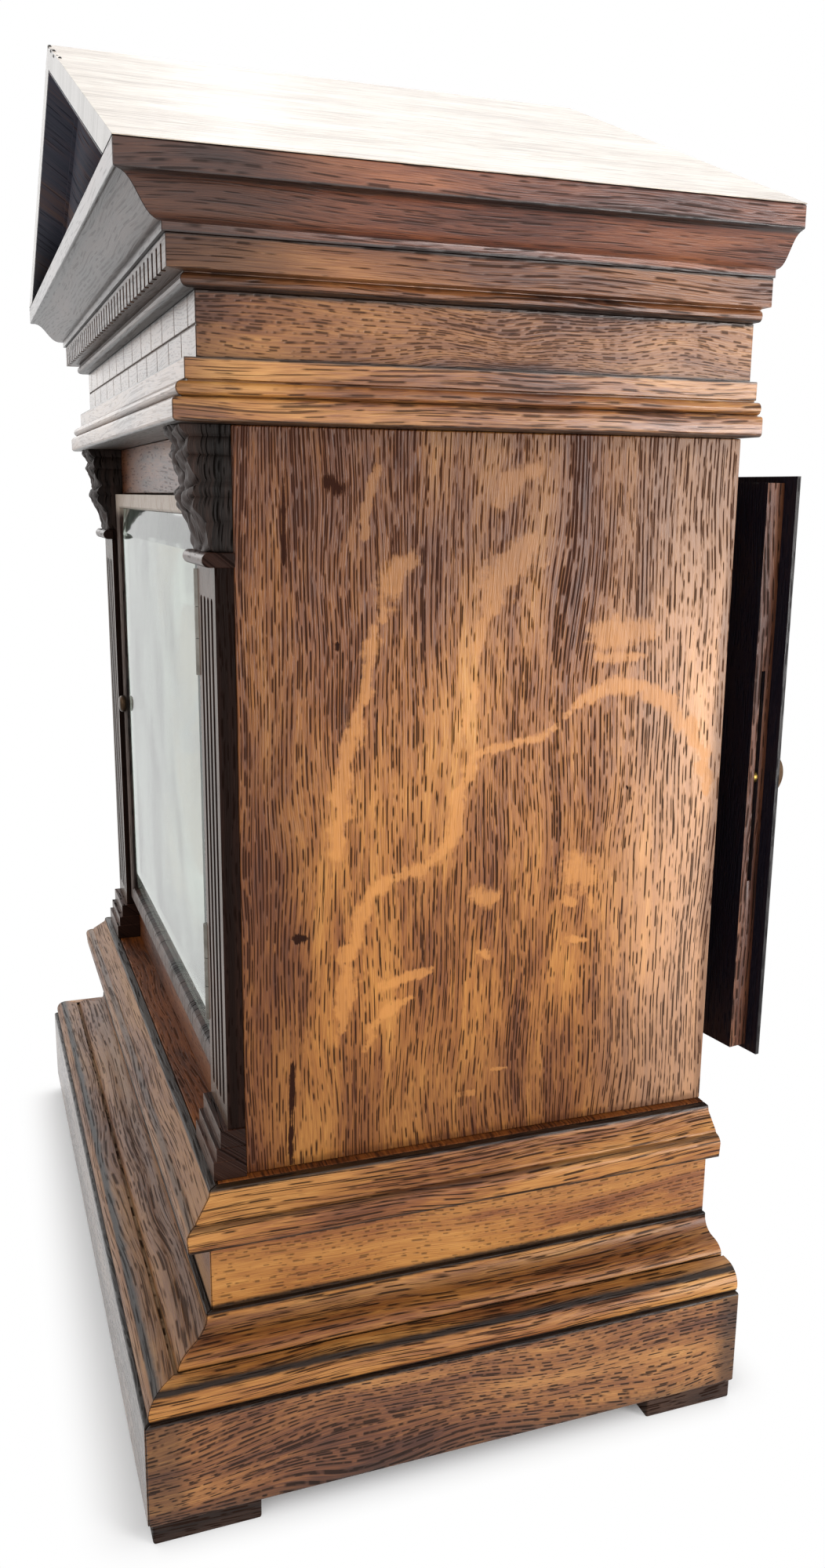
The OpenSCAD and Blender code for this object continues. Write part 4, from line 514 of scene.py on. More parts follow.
def plainFinish(name, colours, size, roughness, relief=0.05):
    # size is the width in mm of the patches that the two colours make
    material, tree = startMaterial(name)
    noise = addNode(tree, "ShaderNodeTexNoise", {"Vector": millimetres(tree), "Scale": 1 / size,
        "Detail": 6.0, "Roughness": 0.6})
    share = addNode(tree, "ShaderNodeMapRange", {0: noise, 1: 0.35, 2: 0.68})
    sheen = addNode(tree, "ShaderNodeMapRange", {0: noise, 1: 0.3, 2: 0.7, 3: roughness * 0.85,
        4: roughness * 1.1})
    twoToned(tree, colours, share, sheen, noise, relief)
    return material


finishes.update({
    # board round the dial, painted black, worn to brown
    "mask": plainFinish("blackPaintedBoard", ("#1B1512", "#33261E"), 9.0, 0.5),
    # gut: twisted, yellow-brown and slightly translucent to the eye
    "gut": plainFinish("gutLine", ("#B08C52", "#8A6736"), 1.5, 0.5, relief=0.2),
    # wax run into the engraved hours: black with a soft shine
    "ink": plainFinish("blackWax", ("#0E0C0B", "#1C1917"), 2.0, 0.35),
})

# old sheet glass: clear with a green cast and a little uneven, under a thin pale bloom wiped upright that is
# partly dust and partly painted reflection, with a painted reflection along the sides of the pane; sizes in
# mm
glassLook = {
    "tint": "#E6F2E8", "roughness": 0.05, "ior": 1.52, "ripple": 0.3, "rippleSize": 50.0,
    "dustAndReflection": "#DDDFC4", "dustAndReflectionSize": 18.0, "stretch": 0.35, "dustAndReflectionFrom": 0.5, "dustAndReflectionTo": 0.72,
    "dustAndReflectionLeast": 0.02, "dustAndReflectionMost": 0.1,
    "reflectionEdgeFrom": 92.0, "reflectionEdgeTo": 97.5, "reflectionEdgeMost": 0.18,
}


def glassFinish(name, look):
    material, tree = startMaterial(name)
    place = millimetres(tree)
    ripple = addNode(tree, "ShaderNodeTexNoise", {"Vector": place, "Scale": 1 / look["rippleSize"],
        "Detail": 1.0})
    swell = addNode(tree, "ShaderNodeBump", {"Height": ripple, "Distance": look["ripple"] * mm,
        "Strength": 1.0})
    wiped = addNode(tree, "ShaderNodeMapping", {0: place, "Scale": (1, 1, look["stretch"])})
    dustAndReflection = addNode(tree, "ShaderNodeTexNoise", {"Vector": wiped, "Scale": 1 / look["dustAndReflectionSize"],
        "Detail": 5.0, "Roughness": 0.55})
    dustAndReflection = addNode(tree, "ShaderNodeMapRange", {0: dustAndReflection, 1: look["dustAndReflectionFrom"], 2: look["dustAndReflectionTo"],
        3: look["dustAndReflectionLeast"], 4: look["dustAndReflectionMost"]})
    # a painted reflection along the sides of the pane
    aside = addNode(tree, "ShaderNodeSeparateXYZ", {0: place})
    aside = addNode(tree, "ShaderNodeMath", {0: aside}, operation="ABSOLUTE")
    paintedEdgeReflection = addNode(tree, "ShaderNodeMapRange", {0: aside, 1: look["reflectionEdgeFrom"], 2: look["reflectionEdgeTo"], 3: 0.0,
        4: look["reflectionEdgeMost"]}, interpolation_type="SMOOTHSTEP")
    dustAndReflection = addNode(tree, "ShaderNodeMath", {0: dustAndReflection, 1: paintedEdgeReflection}, operation="MAXIMUM")
    clear = addNode(tree, "ShaderNodeMath", {0: 1.0, 1: dustAndReflection}, operation="SUBTRACT")
    endMaterial(tree, {"Base Color": tinted(tree, dustAndReflection, hexColor(look["tint"]), look["dustAndReflection"]),
        "Roughness": look["roughness"], "IOR": look["ior"], "Transmission Weight": clear, "Normal": swell})
    return material


finishes["glass"] = glassFinish("sheetGlass", glassLook)
print("materials made:", len(finishes))


def addPiece(name, mesh, body, finish, stands=()):
    # a piece that rides on a body, shown in place of the nodes that it stands for
    piece = bpy.data.objects.new(name, mesh)
    bpy.context.scene.collection.objects.link(piece)
    mesh.materials.clear()
    mesh.materials.append(finishes[finish])
    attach(piece, body)
    if stands:
        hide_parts(*stands)
    return piece


def applied(piece, name):
    # the evaluated piece as a plain mesh
    depsgraph = bpy.context.evaluated_depsgraph_get()
    mesh = bpy.data.meshes.new_from_object(piece.evaluated_get(depsgraph), depsgraph=depsgraph)
    mesh.name = name
    bpy.data.objects.remove(piece)
    return mesh


# points closer than merge (mm) become one, faces that turn less than flat (degrees) are one face, and edges
# that turn more than sharp (degrees) are worn round
easeLook = {"merge": 0.002, "flat": 0.4, "sharp": 32, "segments": 2}


def easedCopy(nodeName, width):
    # a copy of a CAD node, its triangles merged back to faces and its edges worn round
    sharp = math.radians(easeLook["sharp"])
    source = frame["nodes"][nodeName]
    mesh = source.data.copy()
    mesh.transform(source.matrix_world)
    work = bmesh.new()
    work.from_mesh(mesh)
    bmesh.ops.remove_doubles(work, verts=work.verts, dist=easeLook["merge"] * mm)
    bmesh.ops.dissolve_limit(work, angle_limit=math.radians(easeLook["flat"]), verts=work.verts,
        edges=work.edges)
    work.to_mesh(mesh)
    work.free()
    mesh.shade_smooth()
    mesh.set_sharp_from_angle(angle=sharp)
    rough = bpy.data.objects.new(nodeName + "_rough", mesh)
    bpy.context.scene.collection.objects.link(rough)
    bevel = rough.modifiers.new("ease", "BEVEL")
    bevel.width = width * mm
    bevel.segments = easeLook["segments"]
    bevel.limit_method = "ANGLE"
    bevel.angle_limit = sharp
    bevel.miter_outer = "MITER_ARC"
    # the flat faces stay flat in shade
    bevel.harden_normals = True
    return applied(rough, nodeName + "_eased")


# quartered oak shows the broad flakes of its rays; each is a stroke of (y, z, half width) in mm
panelFlakes = [
    [(-22, 333, 1.6), (-24, 322, 2), (-26, 312, 1.6)],
    [(-10, 304, 4.2), (-16, 297, 5.2), (-21, 286, 2.8), (-24, 271, 2.4), (-28, 256, 3), (-31, 241, 4),
        (-33, 223, 4.2), (-35, 212, 2.4)],
    [(31, 311, 3), (27, 306, 8), (20, 296, 6), (15, 286, 3), (12, 268, 1.4), (9, 250, 1.2)],
    [(32, 333, 2.4), (24, 329, 5), (20, 322, 4)],
    [(55, 281, 5), (66, 280, 6.4), (75, 281, 5)], [(56, 272, 2), (74, 272, 2)],
    [(45, 253, 1.2), (52, 259, 3), (60, 263, 3.2), (72, 262, 3), (83, 256, 3.6), (94, 246, 4), (100, 236, 3),
        (102, 224, 2)],
    [(12, 241, 1.2), (18, 243, 1.6), (28, 245, 1.8), (36, 246, 1.6), (43, 250, 1.6)],
    [(12, 238, 1.8), (7, 228, 2.2), (6, 218, 2.4), (1, 210, 3), (-7, 204, 3.2), (-17, 202, 2.6),
        (-24, 197, 2.8), (-27, 187, 3), (-30, 175, 3.2), (-33, 163, 3.4), (-35, 146, 1.6)],
    [(50, 198, 6), (55, 197, 6)], [(47, 189, 2), (50, 187, 1.8)], [(57, 189, 1.8), (58, 184, 1.2)],
    [(14, 193, 3.8), (20, 192, 3.8)], [(14, 174, 1.6), (19, 172, 1.6)],
    [(-20, 165, 2), (-12, 167, 2.4), (-2, 169, 1.2)],
    [(-10, 160, 1.2), (-18, 156, 2.6), (-22, 151, 2.6), (-27, 143, 1.2)],
    [(49, 174, 1.4), (57, 173, 1.4)], [(8, 122, 1.4), (15, 122, 1.4)], [(20, 129, 0.9), (27, 129, 0.9)],
]
panelKnots = [
    [(-50.5, 332, 0.7), (-51, 304, 0.8)], [(-50, 142, 0.8), (-51, 105, 1.2)],
    [(-37, 328, 2.4), (-33, 326, 2.4)],
    [(-48, 185, 1.6), (-45, 185, 1.2)], [(-34, 279, 1.1), (-34, 278, 1.1)],
    [(70, 227, 0.8), (71.5, 222, 0.7)],
]


# how many cuts the panel's face takes each way, and in mm how the fibres break the flakes: in steps so high,
# out of step from column to column, each pushed aside by up to half of push and thinned by chance
flakeLook = {"cuts": 140, "high": 5.1, "column": 9, "push": 3.2, "thin": 0.45, "fine": 3.3, "fineThin": 0.3}


def strokeField(strokes, y, z):
    # 0 well away from every stroke, over 1.2 inside one
    best = 0.0
    for stroke in strokes:
        for (y0, z0, r0), (y1, z1, r1) in zip(stroke, stroke[1:]):
            dy, dz = y1 - y0, z1 - z0
            t = min(1.0, max(0.0, ((y - y0) * dy + (z - z0) * dz) / (dy * dy + dz * dz)))
            away = math.hypot(y - y0 - dy * t, z - z0 - dz * t)
            best = max(best, 2.2 - away / (r0 + (r1 - r0) * t))
    return best


def stepChance(step, seed):
    # a fixed number from 0 to 1 for each step
    return math.sin(step * 12.9898 + seed * 78.233) * 43758.5453 % 1.0


def drawFlakes(mesh):
    # the broad face is cut into a fine grid that carries the flakes and knots; the fibres break the edge of
    # every flake into short steps
    work = bmesh.new()
    work.from_mesh(mesh)
    broad = sorted(work.faces, key=lambda face: -face.calc_area())[:2]
    outside = max(broad, key=lambda face: abs(face.calc_center_median().x))
    bmesh.ops.subdivide_edges(work, edges=list(outside.edges), cuts=flakeLook["cuts"], use_grid_fill=True)
    work.to_mesh(mesh)
    work.free()
    flake = mesh.attributes.new("flake", "FLOAT", "POINT")
    knot = mesh.attributes.new("knot", "FLOAT", "POINT")
    for vertex in mesh.vertices:
        y, z = vertex.co.y / mm, vertex.co.z / mm
        step = math.floor(z / flakeLook["high"] + stepChance(math.floor(y / flakeLook["column"]), 1) * 3)
        shift = (stepChance(step, 2) - 0.5) * flakeLook["push"]
        lose = stepChance(step, 3) * flakeLook["thin"]
        lose += stepChance(math.floor(y / flakeLook["fine"]), step) * flakeLook["fineThin"]
        flake.data[vertex.index].value = strokeField(panelFlakes, y + shift, z) - lose + 0.2
        knot.data[vertex.index].value = strokeField(panelKnots, y, z)


# how far the edges of a node are worn or filed round, in mm, and its finish
easedNodes = {
    "side_panel_right": (0.5, "sideOak"), "side_panel_left": (0.5, "sideOak"),
    "feet": (0.8, "footOak"), "plinth": (0.7, "plinthOak"), "ovolo_moulding": (0.35, "baseOak"),
    "ogee_moulding": (0.35, "baseOak"), "die_frame": (0.5, "dieOak"), "surbase_moulding": (0.35, "baseOak"),
    "platform_board": (0.4, "platformOak"), "pilasters": (0.25, "pilasterOak"),
    "pilaster_bases": (0.4, "darkOakAcross"), "capitals": (0.3, "darkOakAcross"),
    "front_frame": (0.4, "frameOak"), "front_door_frame": (0.3, "doorFrameOak"),
    "architrave": (0.35, "topOak"), "frieze": (0.25, "friezeOak"), "dentil_band": (0.3, "dentilOak"),
    "cornice": (0.35, "corniceOak"), "top_board": (0.5, "corniceOak"), "roof_boards": (0.6, "roofOak"),
    "back_frame": (0.4, "frameOak"), "back_door_board": (0.4, "doorOak"),
    "pediment_panels": (0.3, "recessOak"),
    "front_door_knob": (0.2, "bronze"), "thumb_turn": (0.25, "bronze"), "spandrels": (0.3, "gilt"),
    "hour_hand": (0.12, "blued"), "minute_hand": (0.12, "blued"), "pendulum_bob": (0.4, "turnedBrass"),
}
for nodeName, (width, finish) in easedNodes.items():
    eased = easedCopy(nodeName, width)
    if finish == "sideOak":
        drawFlakes(eased)
    addPiece(nodeName + "_eased", eased, bodyOf[nodeName], finish, (nodeName,))
print("eased pieces:", len(easedNodes))

# nodes that are shown as they come
nodeFinishes = {
    "base_board": "rawOak", "ceiling_board": "rawOak", "seat_board": "rawOak", "back_door_sheet": "sheetOak",
    "front_door_glass": "glass", "case_hinge_leaves": "plated", "front_door_hinge_leaves": "plated",
    "back_door_hinge_leaves": "plated", "strike_plate": "brass", "latch_blade": "brass",
    "dial_plate": "matted", "chapter_ring": "silvered", "front_plate": "brass", "back_plate": "brass",
    "back_cock": "brass", "pallets": "steel", "pendulum_rod": "steel", "line_on_barrel": "gut",
    "line_run": "gut",
}
for nodeName in ("pillars", "barrel", "fusee", "great_wheel", "centre_wheel", "third_wheel", "escape_wheel",
        "cannon_pinion", "minute_wheel", "hour_wheel"):
    nodeFinishes[nodeName] = "turnedBrass"
for nodeName, finish in nodeFinishes.items():
    node = frame["nodes"][nodeName]
    for slotIndex in range(max(1, len(node.material_slots))):
        if slotIndex >= len(node.material_slots):
            node.data.materials.append(finishes[finish])
        node.material_slots[slotIndex].material = finishes[finish]
print("nodes given a finish:", len(nodeFinishes))


def smoothPath(points, count):
    # Catmull-Rom curve through the points, in equal steps of the points' own numbers
    curve = []
    for step in range(count + 1):
        place = min(step * (len(points) - 1) / count, len(points) - 1 - 1e-9)
        first = int(place)
        t = place - first
        a, b, c, d = (Vector(points[min(len(points) - 1, max(0, first + k))]) for k in (-1, 0, 1, 2))
        curve.append(b + ((c - a) * t + (a * 2 - b * 5 + c * 4 - d) * t * t
            + (b * 3 - a - c * 3 + d) * t ** 3) / 2)
    return curve


def loft(name, rows, sharp=35, ring=False):
    # a closed skin over rows of points in mm, each going once round; a ring joins its last row to its first
    around, count = len(rows[0]), len(rows)
    mesh = bpy.data.meshes.new(name)
    faces = [] if ring else [tuple(range(around)), tuple(range(around * (count - 1), around * count))]
    for row in range(count if ring else count - 1):
        for step in range(around):
            a, b = row * around, (row + 1) % count * around
            faces.append((a + step, a + (step + 1) % around, b + (step + 1) % around, b + step))
    mesh.from_pydata([Vector(point) * mm for row in rows for point in row], [], faces)
    work = bmesh.new()
    work.from_mesh(mesh)
    bmesh.ops.recalc_face_normals(work, faces=work.faces)
    work.to_mesh(mesh)
    work.free()
    mesh.shade_smooth()
    mesh.set_sharp_from_angle(angle=math.radians(sharp))
    return mesh


def joined(name, meshes):
    # one mesh from several
    work = bmesh.new()
    for mesh in meshes:
        work.from_mesh(mesh)
    whole = bpy.data.meshes.new(name)
    work.to_mesh(whole)
    work.free()
    return whole


# brackets carved as a leaf that hangs down the front, with its ribs and the notches of its edge
corbelLook = {
    "inner": 110.2, "outer": 138.2, "back": -66.2, "root": -71.9, "reach": 8.3, "foot": 307.45, "top": 343.8,
    # (how far out, how high), both from 0 to 1
    "path": [(0.02, 0), (0.1, 0.07), (0.24, 0.2), (0.42, 0.3), (0.62, 0.38), (0.7, 0.45), (0.6, 0.5),
        (0.52, 0.54), (0.56, 0.62), (0.72, 0.7), (0.82, 0.77), (0.74, 0.83), (0.8, 0.89),
        (0.95, 0.94), (1, 1)],
    "belly": 1.6, "groove": 2.4, "lobe": 2.2, "lobes": 5.5, "notch": 1.3, "across": 28, "steps": 96,
}


def carvedCorbel(look, side):
    # rows of points across the leaf, from its foot up; u goes from -1 to 1 across it and t from 0 to 1 up it
    middle = (look["inner"] + look["outer"]) / 2
    half = (look["outer"] - look["inner"]) / 2
    rows = []
    path = smoothPath([(*point, 0) for point in look["path"]], look["steps"])
    for step, (out, up, _) in enumerate(path):
        t = step / look["steps"]
        height = look["foot"] + (look["top"] - look["foot"]) * min(1.0, max(0.0, up))
        row = []
        for k in range(look["across"] + 1):
            u = k / look["across"] * 2 - 1
            wave = abs(math.sin(math.pi * (look["lobes"] * t - 0.9 * abs(u)))) ** 0.6
            chip = 0.35 * math.sin(37 * t + 5 * u) * math.sin(23 * t - 11 * u)
            swell = look["belly"] * (1 - u * u)
            swell -= look["groove"] * math.exp(-(u / 0.13) ** 2) * min(1.0, 6 * t)
            swell += look["lobe"] * (wave - 0.6) * (0.35 + 0.65 * abs(u)) + chip
            inset = look["notch"] * (1 - wave) * abs(u) ** 6
            forward = look["root"] - look["reach"] * out - max(-0.8, swell)
            row.append((side * (middle + u * (half - inset)), forward, height))
        inside, outside = ((side * look[edge], look["back"], height) for edge in ("inner", "outer"))
        rows.append([inside] + row + [outside])
    return loft("corbel", rows, 28)


addPiece("corbels_carved", joined("corbels_carved", [carvedCorbel(corbelLook, side) for side in (-1, 1)]),
    bodyOf["corbels"], "carvedOak", ("corbels",))
print("carved corbels made")

# linings under the two slopes that end in a cove, in front of the gable board: (mm below the slope, y)
rakeLook = {
    "profile": [(0.1, -100.3), (0.6, -100.3), (0.6, -90), (1.2, -90), (1.2, -88.6), (2.4, -88.2),
        (4.2, -86.6), (5.6, -84.4), (6.6, -81.8), (7.2, -79.2), (8.6, -79.2), (9.2, -78.4),
        (9.4, -76.6), (0.1, -76.6)],
    "ridge": 480.0, "half": 165.4, "rise": 68.4, "board": 7.6, "gap": 0.15, "base": 412.0, "joint": 0.02,
}
rakeTilt = math.atan2(rakeLook["rise"], rakeLook["half"])
rakeParts = []
for side in (-1, 1):
    foot, apex = [], []
    for below, y in rakeLook["profile"]:
        top = rakeLook["ridge"] - (rakeLook["board"] + below + rakeLook["gap"]) / math.cos(rakeTilt)
        foot.append((side * (top - rakeLook["base"]) / math.tan(rakeTilt), y, rakeLook["base"]))
        apex.append((side * rakeLook["joint"], y, top))
    rakeParts.append(loft("rake", [foot, apex], 24))
addPiece("raking_coves", joined("raking_coves", rakeParts), "case", "recessOak")
print("raking coves made")

# the board round the dial, its window rounded at the upper corners
maskLook = {"half": 84.0, "middle": 225.1, "corner": 13.0, "steps": 10}


def roundedWindow(look):
    # (x, z) in mm from the lower left corner, up, over and down again
    half, low, high = look["half"], look["middle"] - look["half"], look["middle"] + look["half"]
    window = [(-half, low)]
    for side in (-1, 1):
        for step in range(look["steps"] + 1):
            if side < 0:
                turn = math.pi * (1 - step / look["steps"] / 2)
            else:
                turn = math.pi / 2 * (1 - step / look["steps"])
            window.append((side * (half - look["corner"]) + look["corner"] * math.cos(turn),
                high - look["corner"] + look["corner"] * math.sin(turn)))
    window.append((half, low))
    return window


def cutBoard(name, nodeName, window):
    # a board as large as the node, with the window cut through it
    (_, front, low), (side, back, high) = (tuple(v / mm for v in corner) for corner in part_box(nodeName))
    outline = [(-side, low), (-side, high), (side, high), (side, low)]
    mesh = bpy.data.meshes.new(name)
    work = bmesh.new()
    loops = []
    for ring in (outline, window):
        vertices = [work.verts.new((x * mm, front * mm, z * mm)) for x, z in ring]
        loops += [work.edges.new((a, b)) for a, b in zip(vertices, vertices[1:] + vertices[:1])]
    bmesh.ops.triangle_fill(work, use_beauty=True, use_dissolve=False, edges=loops)
    skin = bmesh.ops.extrude_face_region(work, geom=list(work.faces))
    behind = [v for v in skin["geom"] if isinstance(v, bmesh.types.BMVert)]
    bmesh.ops.translate(work, vec=(0, (back - front) * mm, 0), verts=behind)
    bmesh.ops.recalc_face_normals(work, faces=work.faces)
    work.to_mesh(mesh)
    work.free()
    return mesh


maskMesh = cutBoard("dial_mask_cut", "dial_mask", roundedWindow(maskLook))
addPiece("dial_mask_cut", maskMesh, bodyOf["dial_mask"], "mask", ("dial_mask",))
print("dial mask cut")

# Roman hours in black wax on the silvered ring, tops outward, and the circles round the minutes; sizes in mm
numeralLook = {"inner": 60.6, "tall": 10.6, "thick": 1.8, "thin": 0.72, "front": -51.25, "back": -51.12,
    "middle": 225.1, "circles": (73.6, 76.4), "circleHalf": 0.12}
# a letter is half its room in mm and its strokes: from, to (height from 0 to 1) and which width
letters = {
    "I": (1.65, [((0, 0), (0, 1), "thick"), ((-1.3, 0.02), (1.3, 0.02), "thin"),
        ((-1.3, 0.98), (1.3, 0.98), "thin")]),
    "V": (3.1, [((-2.0, 1), (0, 0), "thick"), ((2.0, 1), (0, 0), "thin"),
        ((-3.0, 0.98), (-0.9, 0.98), "thin"), ((1.2, 0.98), (2.9, 0.98), "thin")]),
    "X": (3.1, [((-2.0, 1), (2.0, 0), "thick"), ((2.0, 1), (-2.0, 0), "thin"),
        ((-3.0, 0.98), (-0.9, 0.98), "thin"), ((1.2, 0.98), (2.9, 0.98), "thin"),
        ((-2.9, 0.02), (-1.2, 0.02), "thin"), ((0.9, 0.02), (3.0, 0.02), "thin")]),
}
hours = ["I", "II", "III", "IIII", "V", "VI", "VII", "VIII", "IX", "X", "XI", "XII"]


def dialPoint(turn, aside, out, y):
    # a point of the dial: clockwise turn from twelve, mm to the right of that ray and mm out along it
    return (math.sin(turn) * out + math.cos(turn) * aside, y,
        numeralLook["middle"] + math.cos(turn) * out - math.sin(turn) * aside)


strokes = []
for hour, text in enumerate(hours, 1):
    turn = math.radians(30 * hour)
    cursor = -sum(letters[letter][0] for letter in text)
    for letter in text:
        room, parts = letters[letter]
        cursor += room
        for (a, low), (b, high), width in parts:
            start = Vector((cursor + a, numeralLook["inner"] + low * numeralLook["tall"]))
            end = Vector((cursor + b, numeralLook["inner"] + high * numeralLook["tall"]))
            side = (end - start).normalized().orthogonal() * numeralLook[width] / 2
            corners = [start + side, end + side, end - side, start - side]
            rows = [[dialPoint(turn, *corner, numeralLook[face]) for corner in corners]
                for face in ("front", "back")]
            strokes.append(loft("stroke", rows))
        cursor += room
wide = numeralLook["circleHalf"]
section = ((-wide, "front"), (wide, "front"), (wide, "back"), (-wide, "back"))
for radius in numeralLook["circles"]:
    rows = [[dialPoint(math.tau * step / 180, 0, radius + out, numeralLook[face]) for out, face in section]
        for step in range(180)]
    strokes.append(loft("circle", rows, ring=True))
addPiece("hour_numerals", joined("hour_numerals", strokes), bodyOf["chapter_ring"], "ink")
print("strokes on the chapter ring:", len(strokes))


def repeated(name, spots, shape, finish, **sizes):
    # one shape set by Geometry Nodes at each spot: its place in mm and how it is turned
    tree = bpy.data.node_groups.new(name, "GeometryNodeTree")
    tree.interface.new_socket("Geometry", in_out="INPUT", socket_type="NodeSocketGeometry")
    tree.interface.new_socket("Geometry", in_out="OUTPUT", socket_type="NodeSocketGeometry")
    sockets = {}
    for size in sizes:
        socket = tree.interface.new_socket(size, in_out="INPUT", socket_type="NodeSocketFloat")
        sockets[size] = socket.identifier
    entry = addNode(tree, "NodeGroupInput")
    turned = addNode(tree, "GeometryNodeInputNamedAttribute", {"Name": "turn"}, data_type="FLOAT_VECTOR")
    turned = addNode(tree, "FunctionNodeEulerToRotation", {0: turned})
    copies = addNode(tree, "GeometryNodeInstanceOnPoints", {"Points": entry,
        "Instance": shape(tree, entry.outputs), "Rotation": turned})
    copies = addNode(tree, "GeometryNodeRealizeInstances", {0: copies})
    copies = addNode(tree, "GeometryNodeSetMaterial", {0: copies, "Material": finishes[finish]})
    addNode(tree, "NodeGroupOutput", {0: copies})
    mesh = bpy.data.meshes.new(name + "_spots")
    mesh.from_pydata([Vector(place) * mm for place, _ in spots], [], [])
    turns = mesh.attributes.new("turn", "FLOAT_VECTOR", "POINT")
    for index, (_, turn) in enumerate(spots):
        turns.data[index].vector = turn
    piece = bpy.data.objects.new(name + "_spots", mesh)
    bpy.context.scene.collection.objects.link(piece)
    modifier = piece.modifiers.new("repeat", "NODES")
    modifier.node_group = tree
    for size, value in sizes.items():
        modifier[sockets[size]] = value * mm
    return applied(piece, name)


def tick(tree, inputs):
    # a flat bar
    size = addNode(tree, "ShaderNodeCombineXYZ", {0: inputs["width"], 1: inputs["depth"],
        2: inputs["length"]})
    return addNode(tree, "GeometryNodeMeshCube", {0: size})


def slottedHead(tree, inputs):
    # a screw's head, a little narrower at its top, with a slot cut through
    edge = addNode(tree, "ShaderNodeMath", {0: inputs["radius"], 1: 0.82}, operation="MULTIPLY")
    head = addNode(tree, "GeometryNodeMeshCone", {"Vertices": 32, "Radius Top": edge,
        "Radius Bottom": inputs["radius"], "Depth": inputs["height"]})
    long = addNode(tree, "ShaderNodeMath", {0: inputs["radius"], 1: 3.0}, operation="MULTIPLY")
    slot = addNode(tree, "ShaderNodeCombineXYZ", {0: long, 1: inputs["slot"], 2: inputs["height"]})
    slot = addNode(tree, "GeometryNodeMeshCube", {0: slot})
    lift = addNode(tree, "ShaderNodeCombineXYZ", {2: inputs["height"]})
    slot = addNode(tree, "GeometryNodeTransform", {0: slot, "Translation": lift})
    return addNode(tree, "GeometryNodeMeshBoolean", {"Mesh 1": head, "Mesh 2": slot}, operation="DIFFERENCE")


def dent(tree, inputs):
    # a ball that shows as a small dark nick where it breaks the surface
    return addNode(tree, "GeometryNodeMeshIcoSphere", {"Radius": inputs["radius"], "Subdivisions": 2})


def facing(axis, spin):
    # the turn that points a shape's own Z along axis after it has spun by spin degrees
    aim = Vector(axis).to_track_quat("Z", "Y").to_matrix()
    return (aim @ Matrix.Rotation(math.radians(spin), 3, "Z")).to_euler()


# minute marks between the two circles, in mm; every fifth is wide
tickLook = {"out": 75.0, "y": -51.18, "depth": 0.12, "length": 2.7, "width": 0.28, "fifthWidth": 0.95}
minuteTurns = [math.tau * minute / 60 for minute in range(60)]
minuteSpots = [(dialPoint(turn, 0, tickLook["out"], tickLook["y"]), (0, turn, 0)) for turn in minuteTurns]
for name, spots, width in (("minute_ticks", [spot for i, spot in enumerate(minuteSpots) if i % 5], "width"),
        ("five_minute_ticks", minuteSpots[::5], "fifthWidth")):
    ticks = repeated(name, spots, tick, "ink", width=tickLook[width], depth=tickLook["depth"],
        length=tickLook["length"])
    addPiece(name, ticks, bodyOf["chapter_ring"], "ink")
print("minute ticks:", len(minuteSpots))

# slotted screws, by the body that they hold: place, the way they face and the turn of the slot
screwLook = {"radius": 1.9, "height": 0.9, "slot": 0.5}
screwSpots = {"case": [], "back_door": []}
# three screws in each leaf of the back door's two hinges, each with its place in mm from the leaf's middle
# and the turn of its slot in degrees; ajar is in degrees too
hinge = {"long": 34.0, "low": 137.0, "high": 303.6, "caseX": -131.4, "caseY": 107.6,
    "axis": (-123.5, 109.0, 0), "ajar": 9.0, "doorX": (-115.5, -110.5), "doorY": 109.35,
    "screws": ((-11, 20), (0, 75), (11, 130)), "doorSpin": 35}
doorTurn = Matrix.Rotation(math.radians(hinge["ajar"]), 3, "Z")
for middle in (hinge["low"] + hinge["long"] / 2, hinge["high"] - hinge["long"] / 2):
    for lift, spin in hinge["screws"]:
        screwSpots["case"].append(((hinge["caseX"], hinge["caseY"], middle + lift), facing((0, 1, 0), spin)))
        place = Vector((hinge["doorX"][lift == 0], hinge["doorY"], middle + lift))
        place = doorTurn @ (place - Vector(hinge["axis"])) + Vector(hinge["axis"])
        outward = facing(doorTurn @ Vector((0, 1, 0)), spin + hinge["doorSpin"])
        screwSpots["back_door"].append((place, outward))
# two in the back cock, and two in the strike plate
for place, axis, spin in (((-8.5, 24.1, 298), (0, 1, 0), 30), ((8.5, 24.1, 298), (0, 1, 0), 110),
        ((116.1, 102.4, 222.8), (-1, 0, 0), 25), ((116.1, 102.4, 264.3), (-1, 0, 0), 95)):
    screwSpots["case"].append((place, facing(axis, spin)))
for bodyName, spots in screwSpots.items():
    screws = repeated("screws_" + bodyName, spots, slottedHead, "steel", **screwLook)
    addPiece("screws_" + bodyName, screws, bodyName, "steel")
print("screws:", sum(len(spots) for spots in screwSpots.values()))

# nicks along the front edge of the roof near its ridge, in mm
nickLook = {"front": -100.0, "under": 0.2, "radius": 0.75, "backStep": 0.3, "downStep": 0.35,
    "across": (4.5, 7, 10, 12.5, 16, 19.5, 22, 26.5, 33)}
nickSpots = []
for i, x in enumerate(nickLook["across"]):
    height = rakeLook["ridge"] - x * math.tan(rakeTilt) - nickLook["under"]
    height -= (i * 7 % 4) * nickLook["downStep"]
    nickSpots.append(((x, nickLook["front"] + (i % 3) * nickLook["backStep"], height), (0, 0, 0)))
nicks = repeated("roof_nicks", nickSpots, dent, "ink", radius=nickLook["radius"])
addPiece("roof_nicks", nicks, "case", "ink")
print("nicks:", len(nickSpots))


